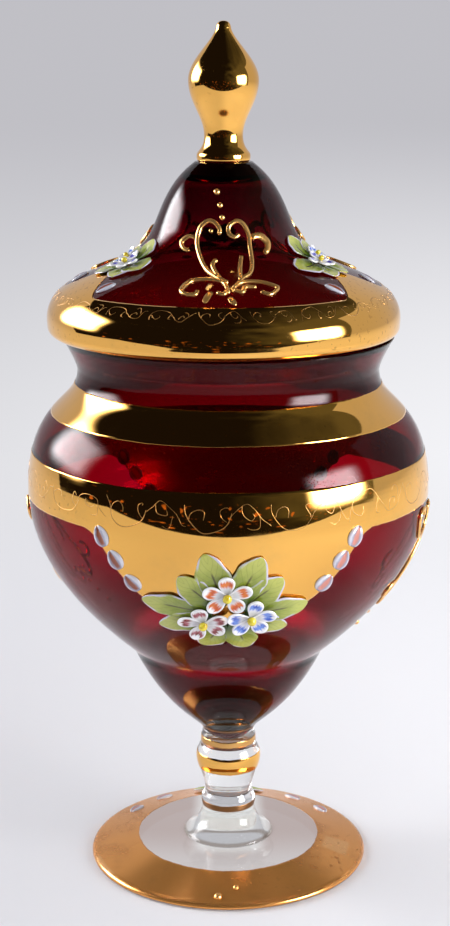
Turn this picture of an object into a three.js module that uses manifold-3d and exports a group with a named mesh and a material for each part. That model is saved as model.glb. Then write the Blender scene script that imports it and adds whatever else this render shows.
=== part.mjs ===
// Covered candy dish: a ruby glass bowl and lid on a clear glass stem and foot,
// with fired-on flowers, leaves and raised gold scrolls.
// Millimetres, +Z up, origin on the axis in the plane of the table.
// Azimuth 0 faces the front (-Y) and 90 faces +X. Profiles are drawn as (radius, height).
import * as THREE from "three";
import { mergeVertices } from "three/addons/utils/BufferGeometryUtils.js";
import Module from "manifold-3d";

const wasm = await Module();
wasm.setup();

// Foot: a thin disc that rises to a flared bell
const footRadius = 47.2;
const footEdge = 2.0;
const ringInnerRadius = 31.0;
const ringRise = 4.2;
const bellRadius = 16.5;
const bellRootRise = 2.0;
const footHeight = 17.0;
const restWidth = 6.0;
const underHollow = 2.4;
const edgeRound = 0.6;

// Stem: a collar ring, a ball knop and a ring under the bowl
const bellTopRadius = 8.9;
const collarRadius = 9.2;
const collarHeight = 5.4;
const waistRadius = 8.0;
const knopRadius = 10.95;
const knopHeight = 17.2;
const knopWidestShare = 0.73;
const knopTopRadius = 9.35;
const mereseHeight = 6.2;
const mereseRadius = 9.5;
const bowlSeatRadius = 8.7;

// Bowl: a lower bulb, a wide belly, a drawn-in neck and a flared lip
const bulbRadius = 32.6;
const bulbHeight = 30.6;
const bellyRadius = 66.0;
const bellyRise = 54.1;
const neckRadius = 49.2;
const shoulderHeight = 40.0;
const lipFlare = 4.8;
const lipHeight = 10.8;
const bowlWall = 2.6;
const bowlFloor = 5.6;

// Lid: a rolled rim, a broad shoulder and a bell-shaped dome
const lidGap = 0.3;
const rimOverhang = 3.1;
const rimRise = 5.4;
const rollInset = 9.6;
const rollRise = 12.3;
const flankRadius = 23.2;
const flankRise = 15.7;
const domeTopRadius = 9.1;
const domeRise = 21.6;
const lidWall = 2.6;
const lidCrown = 6.0;
const flangeDepth = 8.6;
const flangeWall = 2.2;
const flangePlay = 3.1;
const flangeClearance = 1.6;

// Finial: a collar, a waist, a drop and a small tip
const finialCollarRadius = 8.3;
const finialCollarHeight = 2.9;
const finialWaistRadius = 6.2;
const finialWaistRise = 5.1;
const finialDropRadius = 11.2;
const finialDropRise = 17.3;
const finialShoulderRise = 15.6;
const finialTipRadius = 2.0;
const finialTipRise = 2.5;

// Applied ornament. Its drawings below are in units of drawingUnitLength.
const drawingUnitLength = 1.0;
const reliefGap = 0.3;
const leafHeight = 0.95;
const petalHeight = 1.0;
const beadHeight = 1.3;
const scrollWidth = 1.2;
const scrollHeight = 0.8;
const scrollPitch = 3.3;
const bowlFlowerRadius = 6.9;
const smallFlowerRadius = 4.7;
const twinLength = 6.2;
const twinWidth = 4.1;
const bowlGroupRise = 28.1;
const bowlBandDrop = 2.0;
const bowlScrollScale = 1.15;
const bowlScrollAzimuth = 81;
const lidGroupRise = 24.4;
const lidGroupAzimuths = { right: 65, left: -74, back: 180 };
const lidScrollAzimuths = { front: 0, back_right: 123, back_left: -127 };
const lidGildRise = 15.7;
const footOrnamentInset = 7.2;

// Sizes that follow from the ones above
const lipRadius = neckRadius + lipFlare;
const rimRadius = lipRadius + rimOverhang;
const rollRadius = rimRadius - rollInset;
const lidShift = flangePlay - flangeClearance;
const flowerStep = petalHeight + reliefGap;

// Facets round the axis
const wideFacets = 32;
const slimFacets = 16;

// Heights that follow from the pieces stacked on each other
const collarZ = footHeight;
const knopZ = collarZ + collarHeight;
const mereseZ = knopZ + knopHeight;
const bowlZ = mereseZ + mereseHeight;
const bulbZ = bowlZ + bulbHeight;
const bellyZ = bulbZ + bellyRise;
const neckZ = bellyZ + shoulderHeight;
const lipZ = neckZ + lipHeight;
const seatZ = lipZ + lidGap;
const rimZ = seatZ + rimRise;
const rollZ = rimZ + rollRise;
const flankZ = rollZ + flankRise;
const domeZ = flankZ + domeRise;

const ruby = { color: 0x8c1024, roughness: 0.05, metalness: 0 };
const clear = { color: 0xe6ebe8, roughness: 0.04, metalness: 0 };
const gold = { color: 0xe2ae58, roughness: 0.18, metalness: 1 };
const leafGreen = { color: 0x7f9a3e, roughness: 0.35, metalness: 0 };
const enamelWhite = { color: 0xe4e4ea, roughness: 0.25, metalness: 0 };

const point = (r, z) => new THREE.Vector2(r, z);

// A cubic arc between two points. It leaves and arrives at the given angles from the radial
// direction, and each pull is the handle's share of the chord.
function arc(from, fromAngle, fromPull, to, toAngle, toPull) {
  const chord = from.distanceTo(to);
  const leave = THREE.MathUtils.degToRad(fromAngle);
  const arrive = THREE.MathUtils.degToRad(toAngle);
  const start = point(Math.cos(leave), Math.sin(leave)).multiplyScalar(fromPull * chord).add(from);
  const end = point(Math.cos(arrive), Math.sin(arrive)).multiplyScalar(-toPull * chord).add(to);
  return new THREE.CubicBezierCurve(from, start, end, to);
}

// The points of a curve from share a to share b, each moved inwards from the surface by depth.
function pointsInside(curve, steps, depth, a = 0, b = 1) {
  const points = [];
  for (let i = 0; i <= steps; i += 1) {
    const t = a + ((b - a) * i) / steps;
    const along = curve.getTangent(t);
    points.push(curve.getPoint(t).add(point(-along.y, along.x).multiplyScalar(depth)));
  }
  return points;
}

// The first of the points that lie outside a radius, so that a wall never crosses the axis.
const beyond = (points, radius) => points.filter((p) => p.x > radius);

// A solid of revolution. The profile runs up the outside and down the inside.
function revolve(profile, facets) {
  return new THREE.LatheGeometry(profile, facets, Math.PI / 2).rotateX(Math.PI / 2);
}

function solidOf(geometry) {
  const bare = geometry.clone();
  bare.deleteAttribute("normal");
  bare.deleteAttribute("uv");
  const merged = mergeVertices(bare, 1e-4);
  return new wasm.Manifold(new wasm.Mesh({
    numProp: 3,
    vertProperties: merged.attributes.position.array,
    triVerts: new Uint32Array(merged.index.array),
  }));
}

function joined(geometries) {
  const mesh = geometries.map(solidOf).reduce((a, b) => a.add(b)).getMesh();
  const geometry = new THREE.BufferGeometry();
  geometry.setAttribute("position", new THREE.BufferAttribute(mesh.vertProperties, 3));
  geometry.setIndex(new THREE.BufferAttribute(mesh.triVerts, 1));
  return geometry;
}

// A closed skin through rings of equally many points, drawn to a point at both ends.
function loft(start, rings, end) {
  const sides = rings[0].length;
  const positions = [start, ...rings.flat(), end].flatMap((p) => [p.x, p.y, p.z]);
  const faces = [];
  const last = 1 + rings.length * sides;
  const at = (ring, side) => 1 + ring * sides + (side % sides);
  for (let side = 0; side < sides; side += 1) {
    faces.push(0, at(0, side), at(0, side + 1));
    faces.push(last, at(rings.length - 1, side + 1), at(rings.length - 1, side));
    for (let ring = 0; ring + 1 < rings.length; ring += 1) {
      faces.push(at(ring, side), at(ring + 1, side + 1), at(ring, side + 1));
      faces.push(at(ring, side), at(ring + 1, side), at(ring + 1, side + 1));
    }
  }
  const geometry = new THREE.BufferGeometry();
  geometry.setAttribute("position", new THREE.Float32BufferAttribute(positions, 3));
  geometry.setIndex(faces);
  return geometry;
}

// The share of a rising curve at which it reaches a height.
function shareAtHeight(track, height) {
  let low = 0;
  let high = 1;
  for (let i = 0; i < 40; i += 1) {
    const middle = (low + high) / 2;
    if (track.getPointAt(middle).y < height) low = middle;
    else high = middle;
  }
  return low;
}

// Wraps a flat ornament on a surface of revolution: x runs round it, y runs up its profile and
// z stands off the glass. The origin lands at the azimuth and height given.
function wrapped(flat, track, azimuth, height) {
  const geometry = flat.clone();
  const position = geometry.attributes.position;
  const origin = shareAtHeight(track, height);
  const length = track.getLength();
  const turn = THREE.MathUtils.degToRad(azimuth);
  for (let i = 0; i < position.count; i += 1) {
    const share = THREE.MathUtils.clamp(origin + position.getY(i) / length, 0, 1);
    const foot = track.getPointAt(share);
    const along = track.getTangentAt(share);
    const off = position.getZ(i) + reliefGap;
    const radius = foot.x + along.y * off;
    const angle = turn + position.getX(i) / foot.x;
    const z = foot.y - along.x * off;
    position.setXYZ(i, radius * Math.sin(angle), -radius * Math.cos(angle), z);
  }
  return geometry;
}

// Outer curves of the bowl and the lid, used for their walls and for what is fired on them
const bowlStart = point(bowlSeatRadius, bowlZ);
const bowlCrease = point(bulbRadius, bulbZ);
const bowlWidest = point(bellyRadius, bellyZ);
const bowlNeck = point(neckRadius, neckZ);
const bowlLip = point(lipRadius, lipZ);
const bulbCurve = arc(bowlStart, 50.7, 0.18, bowlCrease, 65.4, 0.6);
const bellyCurve = arc(bowlCrease, 39.6, 0.6, bowlWidest, 90, 0.173);
const shoulderCurve = arc(bowlWidest, 90, 0.7, bowlNeck, 90, 0.29);
const lipCurve = arc(bowlNeck, 90, 0.2, bowlLip, 58, 0.13);

const lidSeat = point(lipRadius, seatZ);
const lidRim = point(rimRadius, rimZ);
const lidRoll = point(rollRadius, rollZ);
const lidFlank = point(flankRadius, flankZ);
const lidTop = point(domeTopRadius, domeZ);
const underRollCurve = arc(lidSeat, 41, 0.31, lidRim, 90, 0.31);
const rollCurve = arc(lidRim, 90, 0.45, lidRoll, 152, 0.3);
const lidShoulderCurve = arc(lidRoll, 152, 0.435, lidFlank, 120, 0.42);
const domeCurve = arc(lidFlank, 120, 0.22, lidTop, 144.7, 0.455);

function pathOf(...curves) {
  const path = new THREE.CurvePath();
  curves.forEach((curve) => path.add(curve));
  // One curve that runs by distance along the whole path
  return new THREE.SplineCurve(path.getSpacedPoints(160));
}
const bowlSide = pathOf(bulbCurve, bellyCurve, shoulderCurve);
const lidSide = pathOf(rollCurve, lidShoulderCurve, domeCurve);
const footSide = pathOf(new THREE.LineCurve(
  point(footRadius, footEdge),
  point(ringInnerRadius, footEdge + ringRise),
));

function footGeometry() {
  const ringZ = footEdge + ringRise;
  const rootZ = ringZ + bellRootRise;
  const bell = arc(point(bellRadius, rootZ), 150, 0.35, point(bellTopRadius, footHeight), 105, 0.3);
  return revolve([
    point(0, underHollow),
    point(footRadius - edgeRound - restWidth, 0),
    point(footRadius - edgeRound, 0),
    point(footRadius, edgeRound),
    point(footRadius, footEdge - edgeRound / 2),
    point(footRadius - edgeRound, footEdge + edgeRound / 6),
    point(ringInnerRadius, ringZ),
    ...bell.getPoints(5),
    point(0, footHeight),
  ], wideFacets);
}

// A turned stem piece between two heights, closed by flat faces that meet its neighbours.
function stemGeometry(curves, steps) {
  const side = curves.flatMap((curve, i) => curve.getPoints(steps).slice(i ? 1 : 0));
  return revolve([point(0, side[0].y), ...side, point(0, side.at(-1).y)], slimFacets);
}

function lowerMereseGeometry() {
  const middle = point(collarRadius, collarZ + 0.45 * collarHeight);
  return stemGeometry([
    arc(point(bellTopRadius, collarZ), 75, 0.3, middle, 90, 0.3),
    arc(middle, 90, 0.35, point(waistRadius, knopZ), 110, 0.3),
  ], 3);
}

function knopGeometry() {
  const widest = point(knopRadius, knopZ + knopWidestShare * knopHeight);
  return stemGeometry([
    arc(point(waistRadius, knopZ), 90, 0.39, widest, 90, 0.3),
    arc(widest, 90, 0.35, point(knopTopRadius, mereseZ), 125, 0.3),
  ], 5);
}

function upperMereseGeometry() {
  const middle = point(mereseRadius - 0.2, mereseZ + 0.35 * mereseHeight);
  return stemGeometry([
    arc(point(mereseRadius, mereseZ), 100, 0.3, middle, 95, 0.3),
    arc(middle, 95, 0.35, bowlStart, 85, 0.3),
  ], 3);
}

function bowlGeometry() {
  const floorZ = bowlZ + bowlFloor;
  const innerBulb = beyond(pointsInside(bulbCurve, 3, bowlWall, 0.3, 0.96), bowlSeatRadius);
  const wallStart = innerBulb[0];
  const floor = new THREE.QuadraticBezierCurve(
    point(0, floorZ),
    point(0.6 * wallStart.x, floorZ),
    wallStart,
  );
  const inside = [
    ...floor.getPoints(2),
    ...innerBulb.slice(1),
    ...pointsInside(bellyCurve, 4, bowlWall, 0.04, 1),
    ...pointsInside(shoulderCurve, 5, bowlWall).slice(1),
    ...pointsInside(lipCurve, 1, bowlWall, 0.35, 0.7),
    point(lipRadius - bowlWall, lipZ),
  ];
  return revolve([
    point(0, bowlZ),
    ...bulbCurve.getPoints(4),
    ...bellyCurve.getPoints(6).slice(1),
    ...shoulderCurve.getPoints(7).slice(1),
    ...lipCurve.getPoints(2).slice(1),
    ...inside.reverse(),
  ], wideFacets);
}

function lidGeometry() {
  const flangeRadius = neckRadius - bowlWall - flangePlay;
  const flangeInner = flangeRadius - flangeWall;
  const flangeZ = seatZ - flangeDepth;
  const round = flangeWall / 3;
  const innerDome = beyond(pointsInside(domeCurve, 3, lidWall, 0, 0.8), 0.3 * domeTopRadius);
  const crown = new THREE.QuadraticBezierCurve(
    innerDome.at(-1),
    point(0.5 * innerDome.at(-1).x, domeZ - lidCrown),
    point(0, domeZ - lidCrown),
  );
  const inside = [
    point(flangeInner, flangeZ + round),
    point(flangeInner, seatZ + lidWall),
    ...pointsInside(underRollCurve, 1, lidWall, 0.5, 1),
    ...pointsInside(rollCurve, 3, lidWall).slice(1),
    ...pointsInside(lidShoulderCurve, 4, lidWall).slice(1),
    ...innerDome.slice(1),
    ...crown.getPoints(2).slice(1),
  ];
  const outside = [
    point(flangeInner + round, flangeZ),
    point(flangeRadius - round, flangeZ),
    point(flangeRadius, flangeZ + round),
    point(flangeRadius, seatZ),
    ...underRollCurve.getPoints(3),
    ...rollCurve.getPoints(4).slice(1),
    ...lidShoulderCurve.getPoints(5).slice(1),
    ...domeCurve.getPoints(5).slice(1),
    point(0, domeZ),
  ];
  return revolve([...inside.reverse(), ...outside], wideFacets);
}

function finialGeometry() {
  const collarTop = point(finialCollarRadius, domeZ + finialCollarHeight);
  const waist = point(finialWaistRadius, collarTop.y + finialWaistRise);
  const widest = point(finialDropRadius, waist.y + finialDropRise);
  const neck = point(finialTipRadius, widest.y + finialShoulderRise);
  const tip = point(0, neck.y + finialTipRise);
  return revolve([
    point(0, domeZ),
    point(finialCollarRadius - edgeRound / 2, domeZ),
    point(finialCollarRadius, domeZ + edgeRound),
    ...arc(collarTop, 105, 0.42, waist, 90, 0.45).getPoints(3),
    ...arc(waist, 90, 0.335, widest, 90, 0.4).getPoints(5).slice(1),
    ...arc(widest, 90, 0.337, neck, 114.5, 0.22).getPoints(5).slice(1),
    ...arc(neck, 84, 0.5, tip, 180, 0.4).getPoints(3).slice(1),
  ], slimFacets);
}

// A mound of paste on the ornament's plane, closed below. Each level gives the radius and
// height of its ring for an angle in radians.
function mound(sides, levels, topHeight) {
  const rings = levels.map((level) => Array.from({ length: sides }, (_, i) => {
    const angle = (-2 * Math.PI * i) / sides;
    const { radius, height } = level(angle);
    return new THREE.Vector3(radius * Math.cos(angle), radius * Math.sin(angle), height);
  }));
  return loft(new THREE.Vector3(), rings, new THREE.Vector3(0, 0, topHeight));
}

function dab(radius, height, sides) {
  return mound(sides, [
    () => ({ radius, height: 0.35 * height }),
    () => ({ radius: 0.72 * radius, height }),
  ], 0.6 * height);
}

// A five-petalled flower with a bead in its middle, pressed together as one piece. The petals
// bulge where the cosine of five half turns is large, and their rims stand above their hollows.
function flower(radius, turn) {
  const petalReach = (angle) => radius * (0.4 + 0.6 * Math.abs(Math.cos(2.5 * angle)) ** 0.6);
  const beadRadius = 0.19 * radius;
  const beadTop = 0.5 * petalHeight + beadHeight;
  return mound(4 * 5, [
    (angle) => ({ radius: petalReach(angle), height: 0.35 * petalHeight }),
    (angle) => ({ radius: 0.84 * petalReach(angle), height: petalHeight }),
    () => ({ radius: 1.15 * beadRadius, height: 0.5 * petalHeight }),
    () => ({ radius: beadRadius, height: beadTop - 0.3 * beadHeight }),
  ], beadTop).rotateZ(THREE.MathUtils.degToRad(turn));
}

// A border petal: two lobes side by side with a notch at the tip, along a direction in degrees.
function twinPetal(direction) {
  const [half, side] = [twinLength / 2, twinWidth / 2];
  const outline = (angle) => {
    const oval = (half * side) / Math.hypot(side * Math.cos(angle), half * Math.sin(angle));
    return oval * (1 - 0.22 * Math.exp(-((angle / 0.4) ** 2)));
  };
  const crest = (angle) => petalHeight * (0.7 + 0.3 * Math.abs(Math.sin(angle)));
  return mound(10, [
    (angle) => ({ radius: outline(angle), height: 0.35 * petalHeight }),
    (angle) => ({ radius: 0.7 * outline(angle), height: crest(angle) }),
  ], 0.55 * petalHeight).rotateZ(THREE.MathUtils.degToRad(direction));
}

// A leaf from near the middle of its group to a pointed tip, with a sunk midrib and lifted edges.
function leaf(tipX, tipY, width, height) {
  const reach = Math.hypot(tipX, tipY);
  const along = new THREE.Vector2(tipX, tipY).divideScalar(reach);
  const root = 0.25 * reach;
  const place = (run, side, lift) => new THREE.Vector3(
    along.x * run - along.y * side,
    along.y * run + along.x * side,
    lift,
  );
  const ringAt = (share) => {
    const run = root + share * (reach - root);
    const half = (width / 2) * Math.sin(Math.PI * share ** 1.25);
    return [
      place(run, 0, 0),
      place(run, -half, height),
      place(run, 0, 0.55 * height),
      place(run, half, height),
    ];
  };
  const rings = [0.3, 0.6, 0.85].map(ringAt);
  return loft(place(root, 0, 0.3 * height), rings, place(reach, 0, 0.5 * height));
}

// A row of a drawing as lengths
const drawn = (row) => row.map((units) => units * drawingUnitLength);

// Leaves that spread from one pad, as one fired piece; every second leaf lies a little lower.
// Each tip is (x, y, width) in drawing units.
function leafGroup(tips, padRadius) {
  const heightOf = (i) => (i % 2 ? 0.9 : 1) * leafHeight;
  const leaves = tips.map((tip, i) => leaf(...drawn(tip), heightOf(i)));
  return joined([dab(padRadius, 0.8 * leafHeight, 8), ...leaves]);
}

// A raised line through points (x, y), with a three-cornered section that thins to both ends.
function stroke(points, pitch) {
  const curve = new THREE.SplineCurve(points.map(([x, y]) => point(x, y)));
  const steps = Math.max(4, Math.round(curve.getLength() / pitch));
  const ringAt = (share) => {
    const middle = curve.getPointAt(share);
    const along = curve.getTangentAt(share);
    const half = (scrollWidth / 2) * (0.75 + 0.25 * Math.sin(Math.PI * share));
    return [
      new THREE.Vector3(middle.x + along.y * half, middle.y - along.x * half, 0),
      new THREE.Vector3(middle.x, middle.y, scrollHeight),
      new THREE.Vector3(middle.x - along.y * half, middle.y + along.x * half, 0),
    ];
  };
  const rings = [];
  for (let i = 1; i < steps; i += 1) rings.push(ringAt(i / steps));
  const [start, end] = [curve.getPointAt(0), curve.getPointAt(1)];
  const low = 0.4 * scrollHeight;
  return loft(new THREE.Vector3(start.x, start.y, low), rings, new THREE.Vector3(end.x, end.y, low));
}

// The lines of the scroll, in drawing units from the middle of its foot on the lid: two long
// C-curves with hooks, two sprigs between them and three side curls, all from one knot.
const scrollKnot = [1.8, 10.6];
const leftHook = [-8.2, 31.9];
const rightHook = [8.4, 30.2];
const scrollLines = [
  [scrollKnot, [-5.2, 20.9], leftHook, [-4.2, 38.9], [-1.0, 35.6], [-3.4, 34.2]],
  [scrollKnot, [8.2, 18.7], rightHook, [4.0, 38.8], [1.6, 35.6], [4.4, 33.8]],
  [leftHook, [-11.0, 33.6], [-13.5, 31.3], [-10.5, 28.8]],
  [rightHook, [11.4, 33.7], [14.3, 30.4], [13.2, 27.4]],
  [scrollKnot, [-3.1, 19.6], [-1.8, 25.0]],
  [scrollKnot, [5.1, 19.0], [5.5, 27.0]],
  [scrollKnot, [-4.6, 15.0], [-12.0, 11.2], [-11.0, 6.2], [-7.8, 7.8]],
  [scrollKnot, [8.6, 13.6], [16.3, 9.8], [14.2, 5.9], [11.2, 7.7]],
  [scrollKnot, [1.2, 7.0], [-2.1, 7.6]],
];

// The scroll upright, or hanging when flip is -1. Its foot sits at y = 0.
function scroll(scale, flip) {
  const turned = ([x, y]) => drawn([x * scale, flip * y * scale]);
  const strokes = scrollLines.map((line) => stroke(line.map(turned), scrollPitch * scale));
  const knot = dab(1.3 * scrollWidth, scrollHeight, 6);
  return joined([knot.translate(...turned(scrollKnot), 0), ...strokes]);
}

const dish = new THREE.Group();

function add(name, geometry, finish) {
  const mesh = new THREE.Mesh(geometry, new THREE.MeshStandardMaterial(finish));
  mesh.name = name;
  dish.add(mesh);
}

// The lid lies to the left of the bowl's axis, as far as its flange leaves it room.
function addToLid(name, geometry, finish) {
  add(name, geometry.translate(-lidShift, 0, 0), finish);
}

// Glass pieces, from the table up
add("foot", footGeometry(), clear);
add("lower_merese", lowerMereseGeometry(), clear);
add("stem_knop", knopGeometry(), clear);
add("upper_merese", upperMereseGeometry(), clear);
add("bowl_shell", bowlGeometry(), ruby);
addToLid("lid_shell", lidGeometry(), ruby);
addToLid("finial", finialGeometry(), gold);

// A flower with its middle at a point of the drawing, on top of the leaves. A flower of a higher
// level lies over one of a lower level.
function placedFlower(radius, turn, middle, level) {
  const standOff = leafHeight + reliefGap + (level - 1) * flowerStep;
  return flower(radius, turn).translate(...drawn(middle), standOff);
}

// Bowl: a flower group in front and one behind, each with its border of twin petals
const bowlLeaves = leafGroup([
  [-7.1, 23.2, 10.5], [10.1, 22.1, 10.5], [-15.2, 15.0, 9.5], [16.5, 14.9, 9.5],
  [-27.1, 5.4, 9.0], [24.6, 4.2, 9.0], [-21.7, -6.1, 8.5], [18.1, -6.1, 8.5],
  [-8.4, -16.7, 9.0], [5.2, -17.6, 9.0],
], 7 * drawingUnitLength);
const bowlFlowers = {
  top: { middle: [-0.3, 7.8], turn: 93, level: 1 },
  left: { middle: [-7.4, -3.8], turn: 105, level: 1 },
  right: { middle: [6.9, -1.9], turn: 81, level: 2 },
};
const bowlPetals = [[41.1, 25.1, -64], [36.0, 18.1, -55], [30.2, 10.7, -45]];

for (const [side, azimuth] of [["front", 0], ["back", 180]]) {
  const place = (flat) => wrapped(flat, bowlSide, azimuth, bulbZ + bowlGroupRise);
  add(`bowl_leaves_${side}`, place(bowlLeaves), leafGreen);
  for (const [spot, { middle, turn, level }] of Object.entries(bowlFlowers)) {
    const flat = placedFlower(bowlFlowerRadius, turn, middle, level);
    add(`bowl_flower_${side}_${spot}`, place(flat), enamelWhite);
  }
  for (const [hand, sign] of [["left", -1], ["right", 1]]) {
    bowlPetals.forEach(([x, y, direction], i) => {
      const lean = sign < 0 ? direction : 180 - direction;
      const flat = twinPetal(lean).translate(...drawn([sign * x, y]), 0);
      add(`bowl_petal_${side}_${hand}_${i + 1}`, place(flat), enamelWhite);
    });
  }
}

// Bowl: a scroll hangs from the belly band on each side
const bandEdgeZ = bellyZ - bowlBandDrop;
const hangingFoot = 5.4 * drawingUnitLength * bowlScrollScale;
const hangingScroll = scroll(bowlScrollScale, -1).translate(0, hangingFoot, 0);
for (const [side, azimuth] of [["right", bowlScrollAzimuth], ["left", bowlScrollAzimuth - 180]]) {
  add(`bowl_scroll_${side}`, wrapped(hangingScroll, bowlSide, azimuth, bandEdgeZ), gold);
}

// Lid: three small flower groups and three scrolls take turns round the dome
const lidLeaves = leafGroup([
  [-1.5, 13.0, 8.0], [8.0, 11.5, 7.5], [14.5, -2.5, 8.5],
  [10.4, -12.0, 8.0], [-10.4, -12.0, 8.0], [-14.5, -2.5, 8.5],
], 4.5 * drawingUnitLength);
const lidFlowers = [
  { x: -2.7, y: -1.8, turn: 100, level: 2 },
  { x: 2.5, y: 2.0, turn: 80, level: 1 },
];
const lidPetals = [[-14.0, -15.0, -80], [14.0, -15.0, 260]];

for (const [side, azimuth] of Object.entries(lidGroupAzimuths)) {
  const place = (flat) => wrapped(flat, lidSide, azimuth, seatZ + lidGroupRise);
  const mirror = side === "left" ? -1 : 1;
  addToLid(`lid_leaves_${side}`, place(lidLeaves), leafGreen);
  lidFlowers.forEach(({ x, y, turn, level }, i) => {
    const flat = placedFlower(smallFlowerRadius, turn, [mirror * x, y], level);
    addToLid(`lid_flower_${side}_${i + 1}`, place(flat), enamelWhite);
  });
  lidPetals.forEach(([x, y, direction], i) => {
    const flat = twinPetal(direction).translate(...drawn([x, y]), 0);
    addToLid(`lid_petal_${side}_${i + 1}`, place(flat), enamelWhite);
  });
}

const uprightScroll = scroll(1, 1);
for (const [side, azimuth] of Object.entries(lidScrollAzimuths)) {
  const flat = wrapped(uprightScroll, lidSide, azimuth, seatZ + lidGildRise);
  addToLid(`lid_scroll_${side}`, flat, gold);
}

// Foot: a small flower group behind the stem, with two twin petals to each side
const footOrnamentZ = footEdge + (ringRise * footOrnamentInset) / (footRadius - ringInnerRadius);
const footLeaves = leafGroup([
  [-13.0, 1.5, 6.0], [13.0, 1.5, 6.0], [-8.5, 5.5, 5.5], [8.5, 5.5, 5.5],
], 3.5 * drawingUnitLength);
const footFlower = placedFlower(smallFlowerRadius, 90, [0, 0.5], 1);
add("foot_leaves", wrapped(footLeaves, footSide, 180, footOrnamentZ), leafGreen);
add("foot_flower", wrapped(footFlower, footSide, 180, footOrnamentZ), enamelWhite);
[-56, -36, 36, 56].forEach((offset, i) => {
  const flat = wrapped(twinPetal(0), footSide, 180 + offset, footOrnamentZ);
  add(`foot_petal_${i + 1}`, flat, enamelWhite);
});

export default dish;
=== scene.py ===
"""Covered candy dish: ruby glass on a clear stem, with gilding, raised scrolls and enamel flowers.

Every surface of the dish is worked out in millimetres and put into its mesh in metres. Azimuth 0
faces the front (-Y) and 90 faces +X. A profile is a line of (radius, height) points. The set
around the dish is worked out in metres.
"""

import math

import bpy
import numpy as np
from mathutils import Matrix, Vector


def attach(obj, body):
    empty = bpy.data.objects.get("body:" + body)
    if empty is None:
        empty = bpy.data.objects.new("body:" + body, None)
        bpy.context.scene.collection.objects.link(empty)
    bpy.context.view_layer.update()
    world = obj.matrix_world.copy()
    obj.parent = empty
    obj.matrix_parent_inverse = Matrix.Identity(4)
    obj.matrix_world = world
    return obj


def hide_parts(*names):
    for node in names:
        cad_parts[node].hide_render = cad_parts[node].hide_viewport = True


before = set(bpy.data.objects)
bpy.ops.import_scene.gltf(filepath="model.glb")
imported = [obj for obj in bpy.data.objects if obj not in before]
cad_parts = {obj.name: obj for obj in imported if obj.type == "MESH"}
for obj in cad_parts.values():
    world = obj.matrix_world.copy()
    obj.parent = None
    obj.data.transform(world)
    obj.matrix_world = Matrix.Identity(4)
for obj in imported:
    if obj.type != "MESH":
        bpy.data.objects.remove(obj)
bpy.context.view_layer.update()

MM = 0.001
ROUND = 256  # steps round the axis of a wide piece
SLIM_ROUND = 128  # steps round the axis of the stem and the finial

# Outline of the glass, as in the solids
FOOT_RADIUS, FOOT_EDGE, RING_INNER, RING_RISE = 47.2, 2.0, 31.0, 4.2
BELL_RADIUS, BELL_ROOT_RISE, FOOT_HEIGHT = 16.5, 2.0, 17.0
REST_WIDTH, UNDER_HOLLOW, EDGE_ROUND = 6.0, 2.4, 0.6
BELL_TOP, COLLAR_RADIUS, COLLAR_HEIGHT, WAIST_RADIUS = 8.9, 9.2, 5.4, 8.0
KNOP_RADIUS, KNOP_HEIGHT, KNOP_WIDEST, KNOP_TOP = 10.95, 17.2, 0.73, 9.35
MERESE_HEIGHT, MERESE_RADIUS, BOWL_SEAT = 6.2, 9.5, 8.7
BULB_RADIUS, BULB_HEIGHT, BELLY_RADIUS, BELLY_RISE = 32.6, 30.6, 66.0, 54.1
NECK_RADIUS, SHOULDER_HEIGHT, LIP_RADIUS, LIP_HEIGHT = 49.2, 40.0, 54.0, 10.8
BOWL_WALL, BOWL_FLOOR = 2.6, 5.6
LID_GAP, RIM_RADIUS, RIM_RISE = 0.3, 57.1, 5.4
ROLL_RADIUS, ROLL_RISE, FLANK_RADIUS, FLANK_RISE = 47.5, 12.3, 23.2, 15.7
DOME_TOP, DOME_RISE, LID_WALL, LID_CROWN = 9.1, 21.6, 2.6, 6.0
FLANGE_DEPTH, FLANGE_WALL, FLANGE_PLAY = 8.6, 2.2, 3.1
LID_MIDDLE = -1.5  # the lid lies this far to the left of the bowl's axis
JOIN = 0.12  # how far two glass pieces that were joined hot run into each other

COLLAR_Z = FOOT_HEIGHT
KNOP_Z = COLLAR_Z + COLLAR_HEIGHT
MERESE_Z = KNOP_Z + KNOP_HEIGHT
BOWL_Z = MERESE_Z + MERESE_HEIGHT
BULB_Z = BOWL_Z + BULB_HEIGHT
BELLY_Z = BULB_Z + BELLY_RISE
NECK_Z = BELLY_Z + SHOULDER_HEIGHT
LIP_Z = NECK_Z + LIP_HEIGHT
SEAT_Z = LIP_Z + LID_GAP
RIM_Z = SEAT_Z + RIM_RISE
ROLL_Z = RIM_Z + ROLL_RISE
FLANK_Z = ROLL_Z + FLANK_RISE
DOME_Z = FLANK_Z + DOME_RISE


def arc(start, leave, leave_pull, end, arrive, arrive_pull, steps=32):
    """A cubic curve between two (radius, height) points: it leaves and arrives at the given
    angles from the radial direction, with handles that are shares of the chord."""
    start, end = np.array(start, float), np.array(end, float)
    chord = np.linalg.norm(end - start)
    leave, arrive = math.radians(leave), math.radians(arrive)
    a = start + leave_pull * chord * np.array((math.cos(leave), math.sin(leave)))
    b = end - arrive_pull * chord * np.array((math.cos(arrive), math.sin(arrive)))
    t = np.linspace(0, 1, steps + 1)[:, None]
    return (1 - t) ** 3 * start + 3 * (1 - t) ** 2 * t * a + 3 * (1 - t) * t**2 * b + t**3 * end


def chain(*lines):
    """Lines of points put end to end, without points that come twice."""
    points = np.vstack([np.array(line, float).reshape(-1, 2) for line in lines])
    step = np.linalg.norm(np.diff(points, axis=0), axis=1)
    return points[np.concatenate(([True], step > 1e-6))]


def inward(line, depth):
    """A line moved towards the inside of the glass by depth, square to itself."""
    along = np.gradient(line, axis=0)
    along /= np.linalg.norm(along, axis=1)[:, None]
    return line + depth * np.stack((-along[:, 1], along[:, 0]), 1)


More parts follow.
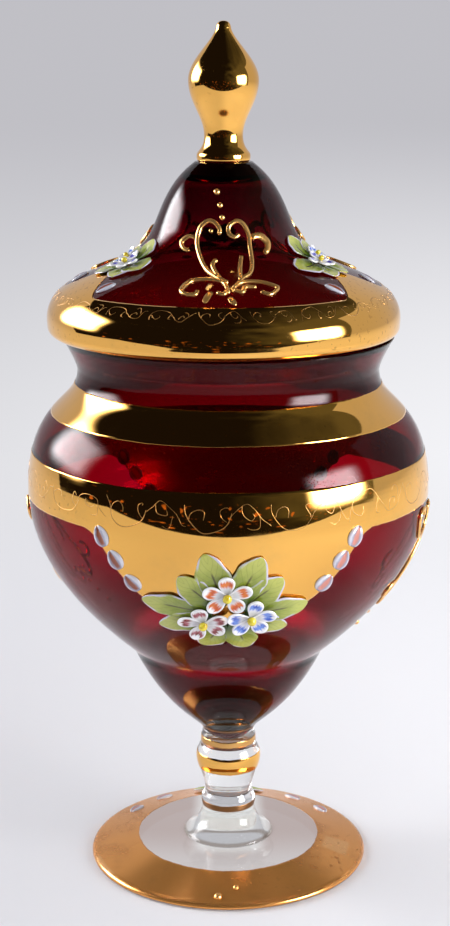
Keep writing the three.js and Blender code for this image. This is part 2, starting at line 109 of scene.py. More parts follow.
def rounded(corner, before, after, radius, steps=5):
    """A small curve that cuts a corner between its two neighbours."""
    corner, before, after = (np.array(p, float) for p in (corner, before, after))
    a = corner + radius * (before - corner) / np.linalg.norm(before - corner)
    b = corner + radius * (after - corner) / np.linalg.norm(after - corner)
    t = np.linspace(0, 1, steps + 1)[:, None]
    return (1 - t) ** 2 * a + 2 * (1 - t) * t * corner + t**2 * b


def smooth_step(x):
    """The cubic 3 x^2 - 2 x^3, which runs level into 0 at x = 0 and into 1 at x = 1."""
    x = np.clip(x, 0, 1)
    return x * x * (3 - 2 * x)


bulb_line = arc((BOWL_SEAT, BOWL_Z), 50.7, 0.18, (BULB_RADIUS, BULB_Z), 65.4, 0.6)
belly_line = arc((BULB_RADIUS, BULB_Z), 39.6, 0.6, (BELLY_RADIUS, BELLY_Z), 90, 0.173, 48)
shoulder_line = arc((BELLY_RADIUS, BELLY_Z), 90, 0.7, (NECK_RADIUS, NECK_Z), 90, 0.29, 48)
lip_line = arc((NECK_RADIUS, NECK_Z), 90, 0.2, (LIP_RADIUS, LIP_Z), 58, 0.13, 16)
rim_foot = (RIM_RADIUS - 0.12, RIM_Z - 2.2)
under_roll_line = np.vstack((
    arc((LIP_RADIUS, SEAT_Z), 25, 0.3, rim_foot, 88, 0.5, 16),
    arc(rim_foot, 88, 0.3, (RIM_RADIUS, RIM_Z), 90, 0.3, 4)[1:],
))
roll_line = arc((RIM_RADIUS, RIM_Z), 90, 0.45, (ROLL_RADIUS, ROLL_Z), 152, 0.3)
lid_shoulder_line = arc((ROLL_RADIUS, ROLL_Z), 152, 0.435, (FLANK_RADIUS, FLANK_Z), 120, 0.42)
dome_line = arc((FLANK_RADIUS, FLANK_Z), 120, 0.22, (DOME_TOP, DOME_Z), 144.7, 0.455)

bowl_side = chain(bulb_line, belly_line, shoulder_line, lip_line)
lid_side = chain(under_roll_line, roll_line, lid_shoulder_line, dome_line)
ring_z = FOOT_EDGE + RING_RISE
foot_side = chain(
    (FOOT_RADIUS - 0.5, 0.15), (FOOT_RADIUS - 0.05, 0.7), (FOOT_RADIUS - 0.05, 1.2),
    (FOOT_RADIUS - 0.5, 1.85), (FOOT_RADIUS - 1.6, FOOT_EDGE + 0.35),
    (RING_INNER, ring_z), (BELL_RADIUS + 3.0, ring_z + 0.6),
)


class Track:
    """A profile line measured by the distance along it, for what is laid on the glass. Its
    direction is averaged over a few steps, so that nothing kinks where two arcs meet."""

    def __init__(self, line, middle=0.0):
        self.middle = middle
        fine = []
        for a, b in zip(line[:-1], line[1:]):
            fine.append(a + (b - a) * np.linspace(0, 1, 8, endpoint=False)[:, None])
        self.line = np.vstack([*fine, line[-1:]])
        step = np.linalg.norm(np.diff(self.line, axis=0), axis=1)
        self.distance = np.concatenate(([0.0], np.cumsum(step)))
        along = np.gradient(self.line, self.distance, axis=0)
        kernel = np.hanning(19)[1:-1]
        padded = np.pad(along, ((8, 8), (0, 0)), mode="edge")
        along = np.stack([np.convolve(padded[:, i], kernel / kernel.sum(), "valid") for i in (0, 1)], 1)
        self.along = along / np.linalg.norm(along, axis=1)[:, None]

    def where(self, height):
        """The distance at which a line that rises all the way reaches a height."""
        return np.interp(height, self.line[:, 1], self.distance)

    def place(self, distance, azimuth, lift):
        """Points on the surface of revolution: distance up the line, azimuth in degrees round
        the axis, and lift square to the glass. All three can be arrays of one shape."""
        radius = np.interp(distance, self.distance, self.line[:, 0])
        height = np.interp(distance, self.distance, self.line[:, 1])
        out = np.interp(distance, self.distance, self.along[:, 1])
        down = np.interp(distance, self.distance, self.along[:, 0])
        turn = np.radians(azimuth)
        reach = radius + out * lift
        across = self.middle + reach * np.sin(turn)
        return np.stack((across, -reach * np.cos(turn), height - down * lift), -1)

    def wrap(self, flat, azimuth, height):
        """A flat ornament laid on the glass: x runs round it at the local radius, y runs up the
        line and z stands off it. The origin lands at the azimuth and height given."""
        distance = self.where(height) + flat[..., 1]
        radius = np.interp(distance, self.distance, self.line[:, 0])
        turn = azimuth + np.degrees(flat[..., 0] / radius)
        return self.place(distance, turn, flat[..., 2])


bowl_track, lid_track, foot_track = Track(bowl_side), Track(lid_side, LID_MIDDLE), Track(foot_side)


class Skin:
    """Gathers closed surfaces into one mesh, with three paint values at each point."""

    def __init__(self):
        self.points, self.paint, self.faces, self.count = [], [], [], 0

    def add(self, grid, paint=None, start=None, end=None, wrap_rows=False):
        """A closed surface through a grid of points whose columns go round. Its open ends are
        drawn to the points start and end, or the last row meets the first with wrap_rows. The
        faces are turned outwards by the sign of the volume they hold."""
        rows, columns = grid.shape[:2]
        points = [grid.reshape(-1, 3)]
        if paint is None:
            paint = np.zeros((rows, columns, 3))
        paints = [paint.reshape(-1, 3)]
        row = np.arange(rows if wrap_rows else rows - 1)[:, None]
        column = np.arange(columns)[None, :]
        right, up = (column + 1) % columns, (row + 1) % rows
        quads = np.stack((
            row * columns + column, row * columns + right, up * columns + right, up * columns + column,
        ), -1).reshape(-1, 4)
        faces, total = [quads], rows * columns
        side = np.arange(columns)
        for tip, ring, turned in ((start, 0, False), (end, rows - 1, True)):
            if tip is None:
                continue
            near, far = ring * columns + side, ring * columns + (side + 1) % columns
            pole = np.full(columns, total)
            faces.append(np.stack((pole, near, far) if turned else (pole, far, near), -1))
            points.append(np.array(tip, float).reshape(1, 3))
            paints.append(paint[ring].mean(0, keepdims=True))
            total += 1
        points = np.vstack(points)
        held = 0.0
        for some in faces:
            for i in range(1, some.shape[1] - 1):
                a, b, c = points[some[:, 0]], points[some[:, i]], points[some[:, i + 1]]
                held += np.einsum("ij,ij->", a, np.cross(b, c))
        if held < 0:
            faces = [some[:, ::-1] for some in faces]
        self.faces += [some + self.count for some in faces]
        self.points.append(points)
        self.paint.append(np.vstack(paints))
        self.count += total

    def build(self, name, material, body, slot, replaces=(), sharp=None):
        """Makes the mesh and its object, riding on a body of the dish."""
        mesh = bpy.data.meshes.new(name)
        points = (np.vstack(self.points) * MM).astype(np.float32)
        loops = np.concatenate([some.ravel() for some in self.faces]).astype(np.int32)
        sizes = np.concatenate([np.full(len(some), some.shape[1]) for some in self.faces])
        starts = np.concatenate(([0], np.cumsum(sizes)[:-1])).astype(np.int32)
        mesh.vertices.add(len(points))
        mesh.vertices.foreach_set("co", points.ravel())
        mesh.loops.add(len(loops))
        mesh.loops.foreach_set("vertex_index", loops)
        mesh.polygons.add(len(sizes))
        mesh.polygons.foreach_set("loop_start", starts)
        paint = mesh.attributes.new("paint", "FLOAT_VECTOR", "POINT")
        paint.data.foreach_set("vector", np.vstack(self.paint).astype(np.float32).ravel())
        mesh.update(calc_edges=True)
        mesh.validate()
        mesh.shade_smooth()
        if sharp is not None:
            mesh.set_sharp_from_angle(angle=math.radians(sharp))
        mesh.materials.append(material)
        piece = bpy.data.objects.new(name, mesh)
        bpy.context.scene.collection.objects.link(piece)
        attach(piece, body)
        if replaces:
            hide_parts(*replaces)


def turned(profile, steps=ROUND, middle=0.0):
    """A closed solid of revolution about an upright axis at x = middle. The profile runs from the
    axis under the piece, up its outside and back to the axis inside or on top."""
    skin = Skin()
    turn = np.radians(np.arange(steps) * 360 / steps)[None, :]
    radius, height = profile[1:-1, :1], profile[1:-1, 1:]
    grid = np.stack((
        middle + radius * np.sin(turn), -radius * np.cos(turn), height + 0 * turn,
    ), -1)
    skin.add(grid, start=(middle, 0, profile[0, 1]), end=(middle, 0, profile[-1, 1]))
    return skin


def spline(points, pitch):
    """A smooth line through (x, y) points, as even steps of about pitch along it."""
    p = np.array(points, float)
    p = np.vstack((2 * p[0] - p[1], p, 2 * p[-1] - p[-2]))
    t = np.linspace(0, 1, 16, endpoint=False)[:, None]
    parts = []
    for a, b, c, d in zip(p[:-3], p[1:-2], p[2:-1], p[3:]):
        parts.append(b + 0.5 * t * (c - a + t * (2 * a - 5 * b + 4 * c - d + t * (3 * (b - c) + d - a))))
    line = np.vstack([*parts, p[-2:-1]])
    distance = np.concatenate(([0.0], np.cumsum(np.linalg.norm(np.diff(line, axis=0), axis=1))))
    even = np.linspace(0, distance[-1], max(6, int(distance[-1] / pitch)) + 1)
    return np.stack([np.interp(even, distance, line[:, i]) for i in (0, 1)], 1)


def ring_of(sides):
    """The cosines and the sines of even steps round a section."""
    turn = np.arange(sides)[None, :] * 2 * math.pi / sides
    return np.cos(turn), np.sin(turn)


def cord_of_paste(line, width, height, sink=0.25, bead=1.0, sides=12):
    """A flat line drawn in paste, as a closed tube in ornament coordinates: its section is an
    oval of the given width and height, it thins a little to both ends, and bead swells them."""
    along = np.gradient(line, axis=0)
    along /= np.linalg.norm(along, axis=1)[:, None]
    share = np.linspace(0, 1, len(line))
    length = np.linalg.norm(np.diff(line, axis=0), axis=1).sum()
    to_end = np.minimum(share, 1 - share) * length
    swell = 0.82 + 0.18 * smooth_step(to_end / 3) + (bead - 1) * np.exp(-((to_end / (0.55 * width)) ** 2))
    closing = np.sqrt(np.clip(1 - (1 - np.clip(to_end / (0.5 * width), 0.0, 1)) ** 2, 0.02, 1))
    half = (width / 2 * swell * closing)[:, None]
    across, up = ring_of(sides)
    top = height * (half / (width / 2)) / 2
    return np.stack((
        line[:, :1] - along[:, 1:] * across * half,
        line[:, 1:] + along[:, :1] * across * half,
        top * (1 + up) - sink,
    ), -1)


def bead_of_paste(x, y, radius, lift, height=None, rings=8, sides=14):
    """A round bead in ornament coordinates, with its poles on the line that stands off the glass."""
    height = radius if height is None else height
    polar = (np.arange(1, rings) * math.pi / rings)[:, None]
    a, b = ring_of(sides)
    grid = np.stack((
        x + radius * np.sin(polar) * a, y + radius * np.sin(polar) * b,
        lift + height * np.cos(polar) + 0 * a,
    ), -1)
    return grid, (x, y, lift + height), (x, y, lift - height)


def add_flat(skin, track, azimuth, height, grid, start, end, paint=None):
    """Lays a flat ornament's closed surface on the glass and adds it to a mesh."""
    ends = [track.wrap(np.array(tip, float), azimuth, height) for tip in (start, end)]
    skin.add(track.wrap(grid, azimuth, height), paint, start=ends[0], end=ends[1])


def ring_ends(grid):
    """The middle of the first and of the last row of a grid."""
    return grid[0].mean(0), grid[-1].mean(0)


# Node materials

def wire(tree, kind, settings=None, inputs=None):
    """Adds a node, sets its properties, and sets or links its inputs by name or number."""
    node = tree.nodes.new(kind)
    for name, value in (settings or {}).items():
        setattr(node, name, value)
    for name, value in (inputs or {}).items():
        socket = node.inputs[name]
        if isinstance(value, bpy.types.NodeSocket):
            tree.links.new(value, socket)
        else:
            socket.default_value = value
    return node


def colour(red, green, blue):
    """A colour given as display values from 0 to 255, as the light values that Blender holds."""
    shown = np.array((red, green, blue)) / 255
    light = np.where(shown <= 0.04045, shown / 12.92, ((shown + 0.055) / 1.055) ** 2.4)
    return (*light.tolist(), 1.0)


def object_place(tree):
    """A point's place in metres from its object's origin, which lies under the foot for every
    piece of the dish."""
    return wire(tree, "ShaderNodeTexCoord").outputs["Object"]


def parts_of(tree, vector):
    """The x, y and z of a vector."""
    return tuple(wire(tree, "ShaderNodeSeparateXYZ", {}, {0: vector}).outputs)


def math_node(tree, operation, *values):
    """What an operation of arithmetic gives for the values."""
    return wire(tree, "ShaderNodeMath", {"operation": operation}, dict(enumerate(values))).outputs[0]


def product(tree, value, *others):
    """A value multiplied by each of the others in turn."""
    for other in others:
        value = math_node(tree, "MULTIPLY", value, other)
    return value


def mixed(tree, factor, a, b):
    """Tone a where factor is 0, tone b where it is 1, and a blend between."""
    inputs = {"Factor": factor, 6: a, 7: b}
    return wire(tree, "ShaderNodeMix", {"data_type": "RGBA"}, inputs).outputs[2]


def coated(tree, tone, *coats):
    """A tone with others laid over it in turn, each by its own share."""
    for share, over in coats:
        tone = mixed(tree, share, tone, over)
    return tone


def ramp(tree, value, low, high):
    """0 below low, 1 above high, and smooth between them. low may be above high."""
    settings = {"interpolation_type": "SMOOTHSTEP"}
    inputs = {"Value": value, "From Min": low, "From Max": high}
    return wire(tree, "ShaderNodeMapRange", settings, inputs).outputs[0]


def noise(tree, vector, scale, detail, roughness=0.5):
    """Soft random patches, scale of them to a metre, with finer ones over them by detail."""
    inputs = {"Vector": vector, "Scale": scale, "Detail": detail, "Roughness": roughness}
    return wire(tree, "ShaderNodeTexNoise", {}, inputs).outputs["Fac"]


def effect_group(name, inputs, effect):
    """A shader node group with named value inputs (with defaults). effect is a function of its
    tree, the point's place and those inputs, and gives its value outputs by name."""
    tree = bpy.data.node_groups.new(name, "ShaderNodeTree")
    for title, default in inputs.items():
        socket = tree.interface.new_socket(title, in_out="INPUT", socket_type="NodeSocketFloat")
        socket.default_value = default
    values = effect(tree, object_place(tree), tree.nodes.new("NodeGroupInput").outputs)
    for title in values:
        tree.interface.new_socket(title, in_out="OUTPUT", socket_type="NodeSocketFloat")
    out = tree.nodes.new("NodeGroupOutput")
    for title, value in values.items():
        tree.links.new(value, out.inputs[title])
    return tree


def hand_rubbed(tree, place, given):
    """Wear of a fired film: soft smears of rubbed metal, fine pits, and a slow waviness."""
    smear = ramp(tree, noise(tree, place, 55.0, 4.0, 0.6), 0.48, 0.75)
    specks = ramp(tree, noise(tree, place, 700.0, 1.0), 0.64, 0.70)
    patches = ramp(tree, noise(tree, place, 30.0, 1.0), 0.45, 0.7)
    return {
        "Rub": product(tree, smear, given["Smears"]),
        "Pitted": product(tree, specks, patches, given["Pits"]),
        "Wave": noise(tree, place, 38.0, 1.0),
    }


def hand_brushed(tree, place, given):
    """Marks of the brush in enamel: strokes in its colour, and a fine grain in its gloss."""
    stroke = noise(tree, place, given["Scale"], given["Detail"])
    return {"Stroke": stroke, "Grain": noise(tree, place, 900.0, 2.0)}


def hand_blown(tree, place, given):
    """The slow unevenness of blown glass."""
    return {"Ripple": noise(tree, place, given["Scale"], 1.0)}


HAND_RUBBED = effect_group("hand_rubbed", {"Smears": 1.0, "Pits": 1.0}, hand_rubbed)
HAND_BRUSHED = effect_group("hand_brushed", {"Scale": 600.0, "Detail": 2.0}, hand_brushed)
HAND_BLOWN = effect_group("hand_blown", {"Scale": 28.0}, hand_blown)


def placed(tree, group, inputs):
    """The outputs of an effect's group, placed in a material with values of its own."""
    return wire(tree, "ShaderNodeGroup", {"node_tree": group}, inputs).outputs


def new_material(name):
    """A material with nothing in it but its output."""
    material = bpy.data.materials.new(name)
    material.use_nodes = True
    tree = material.node_tree
    tree.nodes.clear()
    return material, tree, wire(tree, "ShaderNodeOutputMaterial")


def finish_surface(tree, output, inputs):
    """Gives a material its surface, with values or links for the sockets named."""
    shader = wire(tree, "ShaderNodeBsdfPrincipled", {}, inputs)
    tree.links.new(shader.outputs[0], output.inputs["Surface"])


def bump(tree, height, strength, distance):
    """A normal tipped as on a surface that rises by distance in metres where height goes from 0 to 1."""
    inputs = {"Height": height, "Strength": strength, "Distance": distance}
    return wire(tree, "ShaderNodeBump", {}, inputs).outputs[0]


def paint_values(tree):
    """The three paint values of a point: along the form, across it, and which part it is."""
    attribute = wire(tree, "ShaderNodeAttribute", {"attribute_name": "paint"})
    return parts_of(tree, attribute.outputs["Vector"])


def gold_material(name, clean, rubbed, roughness, smears, pits, wave=0.00002, metallic=1.0, glow=0.06):
    """Bright fired gold: rubbed patches are a little browner and duller, pits are darker, worn
    places (first paint value 1) are pale, and the side that lies on the glass (third paint value
    1) is a dull brown that glows a little: a painted light for what comes through the film."""
    material, tree, output = new_material(name)
    wear = placed(tree, HAND_RUBBED, {"Smears": smears, "Pits": pits})
    rub, pitted = wear["Rub"], wear["Pitted"]
    worn_through, _, inner_side = paint_values(tree)
    tone = coated(
        tree, mixed(tree, rub, clean, rubbed), (pitted, colour(96, 52, 26)),
        (product(tree, worn_through, 0.45), colour(238, 188, 128)), (inner_side, colour(168, 112, 56)),
    )
    rough = roughness
    for share, more in ((rub, 0.10), (pitted, 0.35), (inner_side, 0.22)):
        rough = math_node(tree, "MULTIPLY_ADD", share, more, rough)
    # Painted light: the side on the glass glows by glow, as if lit through the film.
    through = mixed(tree, inner_side, (0, 0, 0, 1), (1.0, 0.45, 0.25, 1))
    finish_surface(tree, output, {
        "Base Color": tone, "Metallic": metallic, "Roughness": rough,
        "Emission Color": through, "Emission Strength": glow,
        "Normal": bump(tree, wear["Wave"], 0.5, wave),
    })
    return material


def by_height(tree, stops):
    """A colour that changes with height, through stops of (millimetres, red, green, blue)."""
    height = parts_of(tree, object_place(tree))[2]
    tone = (*stops[0][1:], 1.0)
    for (low, *_), (high, *above) in zip(stops[:-1], stops[1:]):
        tone = mixed(tree, ramp(tree, height, low * MM, high * MM), tone, (*above, 1.0))
    return tone


def glass_material(name, keep, thickness, ripple, ior, skin=None, coat=0.0):
    """Clear or coloured glass. keep is the share of red, green and blue light that passes a wall
    of the given thickness, from which the absorption of the glass is worked out. skin is a tint
    by height: it is deep where the gather is thick; its other dark stops are painted shade, for
    the dark room seen in the wall and for the lid's shadow at the bowl's lip."""
    material, tree, output = new_material(name)
    # Painted shade: the tint by height darkens the glass in bands.
    tint_and_shade = by_height(tree, skin) if skin else (1, 1, 1, 1)
    swell = placed(tree, HAND_BLOWN, {"Scale": 28.0})["Ripple"]
    finish_surface(tree, output, {
        "Base Color": tint_and_shade, "Metallic": 0.0, "Roughness": 0.0, "IOR": ior,
        "Transmission Weight": 1.0, "Coat Weight": coat, "Coat IOR": 1.5, "Coat Roughness": 0.0,
        "Normal": bump(tree, swell, 0.35, ripple),
    })
    per_metre = -np.log(np.array(keep)) / (thickness * MM)
    density = float(per_metre.max()) * 1.02
    tone = (*(1 - per_metre / density).tolist(), 1.0)
    volume = wire(tree, "ShaderNodeVolumeAbsorption", {}, {"Color": tone, "Density": density})
    tree.links.new(volume.outputs[0], output.inputs["Volume"])
    return material


def enamel_surface(tree, output, tone, grain):
    """The glossy skin that all fired enamel shares, with a fine unevenness from the brush."""
    finish_surface(tree, output, {
        "Base Color": tone, "Roughness": 0.22, "IOR": 1.5,
        "Coat Weight": 0.6, "Coat Roughness": 0.06, "Normal": bump(tree, grain, 0.6, 0.00003),
    })


def petal_material(name, tint, deep):
    """White petals with a brushed spot of colour in the hollow, painted grey shade on the narrow
    stem where the petal dips to the middle, and a yellow bead.
    """
    material, tree, output = new_material(name)
    along, across, part = paint_values(tree)
    brush = placed(tree, HAND_BRUSHED, {"Scale": 600.0, "Detail": 2.0})
    side = math_node(tree, "ABSOLUTE", across)
    # Painted shade: the narrow stem near the middle is grey, where the petal dips.
    painted_stem_shade = product(tree, ramp(tree, along, 0.70, 0.25), ramp(tree, side, 0.95, 0.5), 0.62)
    spread = wire(tree, "ShaderNodeCombineXYZ", {}, {
        0: product(tree, across, 4.0), 1: product(tree, along, 0.8)})
    place = {0: object_place(tree), "Scale": 160.0}
    scaled = wire(tree, "ShaderNodeVectorMath", {"operation": "SCALE"}, place)
    drawn = wire(tree, "ShaderNodeVectorMath", {}, {0: spread.outputs[0], 1: scaled.outputs[0]})
    reach = math_node(tree, "MULTIPLY_ADD", noise(tree, drawn.outputs[0], 1.0, 1.0), 0.4, along)
    spot = product(
        tree, ramp(tree, reach, 0.60, 0.80), ramp(tree, reach, 1.06, 0.92),
        ramp(tree, side, 0.86, 0.62), ramp(tree, part, 0.5, 0.3),
    )
    shade = mixed(tree, ramp(tree, brush["Stroke"], 0.4, 0.62), tint, deep)
    yellow, ochre = colour(240, 224, 60), colour(206, 176, 30)
    bead = mixed(tree, ramp(tree, brush["Stroke"], 0.35, 0.7), yellow, ochre)
    tone = coated(
        tree, colour(246, 246, 250), (painted_stem_shade, colour(158, 160, 172)), (spot, shade),
        (ramp(tree, part, 0.4, 0.6), bead),
    )
    enamel_surface(tree, output, tone, brush["Grain"])
    return material


def leaf_material():
    """Leaves shaded from dark green at the root to yellow green at the tip, with a brown midrib,
    faint side veins and a lavender edge."""
    material, tree, output = new_material("leaf_enamel_greens")
    along, across, _ = paint_values(tree)
    brush = placed(tree, HAND_BRUSHED, {"Scale": 350.0, "Detail": 3.0})
    stroke, side = brush["Stroke"], math_node(tree, "ABSOLUTE", across)
    shifted = math_node(tree, "MULTIPLY_ADD", stroke, 0.3, along)
    vein_line = math_node(tree, "MULTIPLY_ADD", side, -0.35, along)
    vein = ramp(tree, math_node(tree, "PINGPONG", vein_line, 0.07), 0.016, 0.004)
    rib = product(tree, ramp(tree, side, 0.085, 0.03), ramp(tree, along, 0.72, 0.6), 0.8)
    patches = ramp(tree, noise(tree, object_place(tree), 110.0, 1.0), 0.36, 0.50)
    rough_edge = math_node(tree, "MULTIPLY_ADD", stroke, 0.25, side)
    reach = math_node(tree, "MULTIPLY_ADD", along, 0.40, rough_edge)
    edge = product(tree, ramp(tree, reach, 1.20, 1.30), ramp(tree, along, 0.25, 0.5), patches)
    tone = coated(
        tree, colour(50, 84, 22), (ramp(tree, shifted, 0.22, 0.66), colour(134, 148, 48)),
        (ramp(tree, shifted, 0.62, 1.05), colour(186, 190, 92)),
        (product(tree, vein, 0.25), colour(84, 104, 34)), (rib, colour(70, 58, 26)),
        (edge, mixed(tree, stroke, colour(214, 204, 214), colour(196, 198, 224))),
    )
    enamel_surface(tree, output, tone, brush["Grain"])
    return material


def border_material(name, middle):
    """Twin petals: lavender white lobes with a coloured cleft between them."""
    material, tree, output = new_material(name)
    along, across, _ = paint_values(tree)
    brush = placed(tree, HAND_BRUSHED, {"Scale": 700.0, "Detail": 2.0})
    side = math_node(tree, "MULTIPLY_ADD", brush["Stroke"], 0.3, math_node(tree, "ABSOLUTE", across))
    cleft = product(tree, ramp(tree, side, 0.62, 0.38), ramp(tree, along, 0.04, 0.2))
    lobes = (ramp(tree, side, 0.6, 0.95), colour(214, 214, 226))
    tone = coated(tree, colour(150, 148, 166), lobes, (cleft, middle))
    enamel_surface(tree, output, tone, brush["Grain"])
    return material


# Tints of the glass by height, in stops of (millimetres, red, green, blue). The bowl's tint is
# deep just above the stem, where its gather is thick; its other dark stops are painted shade:
# bands on the bulb, the neck, and the lid's shadow at the lip. The lid's stops paint shade over
# its shoulder and dome, and the foot's paint a line of shade where the bell meets the disc.
BOWL_TINT_AND_SHADE = (
    (47, 0.9, 0.5, 0.5), (49, 0.10, 0.07, 0.08), (52, 0.10, 0.07, 0.08), (56, 0.62, 0.52, 0.56),
    (60, 0.62, 0.52, 0.56), (64, 0.36, 0.27, 0.30), (72, 0.36, 0.27, 0.30), (74.5, 1, 0.9, 0.9),
    (78.5, 1, 0.9, 0.9), (81, 0.40, 0.33, 0.37), (83, 0.46, 0.42, 0.46),
    (90, 0.58, 0.70, 0.76), (95, 0.80, 0.90, 0.95), (100, 1, 1, 1),
    (126, 1, 1, 1), (134, 0.92, 0.7, 0.5), (164.5, 0.92, 0.7, 0.5), (166, 0.35, 0.17, 0.18),
    (172.5, 0.35, 0.17, 0.18), (175, 1, 0.9, 0.9), (178.5, 1, 0.9, 0.9), (180, 0.36, 0.3, 0.3),
)
LID_TINT_AND_SHADE = (
    (200, 1, 1, 1), (206, 0.64, 0.56, 0.60), (214, 0.64, 0.52, 0.56), (220, 0.40, 0.34, 0.36),
    (228, 0.36, 0.32, 0.34), (234, 1, 0.9, 0.9),
)
FOOT_TINT_AND_SHADE = ((6.9, 1, 1, 1), (7.2, 0.42, 0.34, 0.28), (7.8, 0.42, 0.34, 0.28), (8.4, 1, 1, 1))
FINE_RIPPLE, SOFT_RIPPLE = 0.00002, 0.00003  # how far the skin of the glass swells, in metres
CLEAR_KEEP, CLEAR_PATH = (0.985, 0.99, 0.985), 10.0
ruby_glass = glass_material(
    "ruby_glass_bowl", (0.60, 0.03, 0.15), BOWL_WALL, SOFT_RIPPLE, 1.24, BOWL_TINT_AND_SHADE)
lid_ruby_glass = glass_material(
    "ruby_glass_lid", (0.52, 0.05, 0.14), LID_WALL, SOFT_RIPPLE, 1.33, LID_TINT_AND_SHADE)
clear_glass = glass_material("clear_glass", CLEAR_KEEP, CLEAR_PATH, FINE_RIPPLE, 1.36, coat=0.5)
foot_clear_glass = glass_material(
    "clear_glass_foot", CLEAR_KEEP, CLEAR_PATH, FINE_RIPPLE, 1.22, FOOT_TINT_AND_SHADE, coat=0.3)

GOLD_LIGHT, GOLD_RUBBED = (1.0, 0.54, 0.128, 1), (0.82, 0.47, 0.13, 1)
GOLD_BROWN = (0.82, 0.42, 0.11, 1)
bright_gold = gold_material("bright_gold_band", GOLD_LIGHT, GOLD_RUBBED, 0.035, 0.5, 0.3)
# This gold's side on the glass glows more: painted light behind the shoulder band and the lid's rim.
lit_gold = gold_material(
    "bright_gold_lit_from_behind", GOLD_LIGHT, GOLD_RUBBED, 0.04, 0.5, 0.3, glow=0.24)
finial_gold = gold_material("bright_gold_finial", GOLD_LIGHT, GOLD_RUBBED, 0.06, 0.3, 0.3)
worn_gold = gold_material(
    "worn_gold_foot", (0.80, 0.35, 0.09, 1), (0.64, 0.27, 0.07, 1), 0.19, 1.4, 0.45, metallic=0.7)
line_gold = gold_material(
    "worn_gold_stem_line", (0.26, 0.12, 0.04, 1), (0.18, 0.08, 0.03, 1), 0.3, 1.0, 1.0, metallic=0.7)
brown_gold = gold_material(
    "brown_gold_line", (0.72, 0.40, 0.13, 1), (0.50, 0.26, 0.09, 1), 0.16, 1.0, 0.6, metallic=0.9)
paste_gold = gold_material(
    "raised_gold", (1.0, 0.58, 0.19, 1), GOLD_BROWN, 0.26, 0.6, 0.0, 0.00004, metallic=0.85)
scratched_gold = gold_material("engraved_line", (0.54, 0.28, 0.09, 1), GOLD_BROWN, 0.36, 0.9, 0.0)

leaf_enamel = leaf_material()
orange_petals = petal_material("petal_enamel_orange", colour(226, 120, 40), colour(204, 84, 24))
maroon_petals = petal_material("petal_enamel_maroon", colour(172, 92, 104), colour(128, 44, 44))
blue_petals = petal_material("petal_enamel_blue", colour(104, 140, 224), colour(58, 92, 200))
violet_petals = petal_material("petal_enamel_violet", colour(120, 118, 210), colour(74, 66, 168))
terracotta_border = border_material("border_enamel_terracotta", colour(150, 78, 50))
rose_border = border_material("border_enamel_rose", colour(204, 132, 118))


# Glass pieces

def foot_glass():
    """The foot: a thin disc hollowed beneath, with a rounded edge, that rises to a solid bell."""
    rest = FOOT_RADIUS - EDGE_ROUND
    root = (BELL_RADIUS - 1.2, ring_z + BELL_ROOT_RISE - 1.2)
    bell = arc(root, 95, 0.16, (BELL_TOP, FOOT_HEIGHT), 93, 0.62)
    profile = chain(
        (0, UNDER_HOLLOW), (rest - REST_WIDTH, 0), (rest - 0.2, 0),
        arc((rest - 0.2, 0), 10, 0.5, (FOOT_RADIUS - 0.05, 0.9), 90, 0.4, 8),
        arc((FOOT_RADIUS - 0.05, 0.9), 90, 0.4, (FOOT_RADIUS - 1.6, FOOT_EDGE + 0.35), 165, 0.5, 8),
        (RING_INNER, ring_z),
        rounded(root, (RING_INNER, ring_z), bell[4], 0.5), bell[4:],
        (0, FOOT_HEIGHT),
    )
    profile[-2:, 1] += JOIN
    turned(profile).build("foot_glass", foot_clear_glass, "dish", "clear_glass", ["foot"], sharp=40)


knop_widest = (KNOP_RADIUS, KNOP_Z + KNOP_WIDEST * KNOP_HEIGHT)
knop_side = chain(
    arc((WAIST_RADIUS, KNOP_Z), 90, 0.39, knop_widest, 90, 0.3),
    arc(knop_widest, 90, 0.35, (KNOP_TOP, MERESE_Z), 125, 0.3),
)
collar_middle = (COLLAR_RADIUS, COLLAR_Z + 0.45 * COLLAR_HEIGHT)
collar_foot = arc((BELL_TOP, COLLAR_Z), 75, 0.3, collar_middle, 90, 0.3)
lower_merese_side = chain(
    collar_foot, arc(collar_middle, 90, 0.35, (WAIST_RADIUS, KNOP_Z), 110, 0.3))
merese_middle = (MERESE_RADIUS - 0.2, MERESE_Z + 0.35 * MERESE_HEIGHT)
upper_merese_side = chain(
    arc((MERESE_RADIUS, MERESE_Z), 100, 0.3, merese_middle, 95, 0.3),
    arc(merese_middle, 95, 0.35, (BOWL_SEAT, BOWL_Z), 85, 0.3),
)


def stem_glass():
    """The three pieces of the stem: each is its side line turned round, between two flat joints,
    and runs a little into its neighbour."""
    for name, side, replaced in (
        ("lower_merese_glass", lower_merese_side, "lower_merese"), ("knop_glass", knop_side, "stem_knop"),
        ("upper_merese_glass", upper_merese_side, "upper_merese"),
    ):
        (_, low), (radius, high) = side[0], side[-1]
        profile = chain((0, low), side, (radius, high + JOIN), (0, high + JOIN))
        turned(profile, SLIM_ROUND).build(name, clear_glass, "dish", "clear_glass", [replaced], sharp=50)


DROP_DEPTH, DROP_RADIUS = 5.0, 7.6  # the round end of the ruby gather, sunk in the clear glass


def ruby_drop():
    """The bowl's underside inside the stem's clear glass: a parabola from the axis to its rim."""
    radius = np.linspace(0, DROP_RADIUS, 14)
    return np.stack((radius, BOWL_Z - DROP_DEPTH * (1 - (radius / DROP_RADIUS) ** 2)), 1)


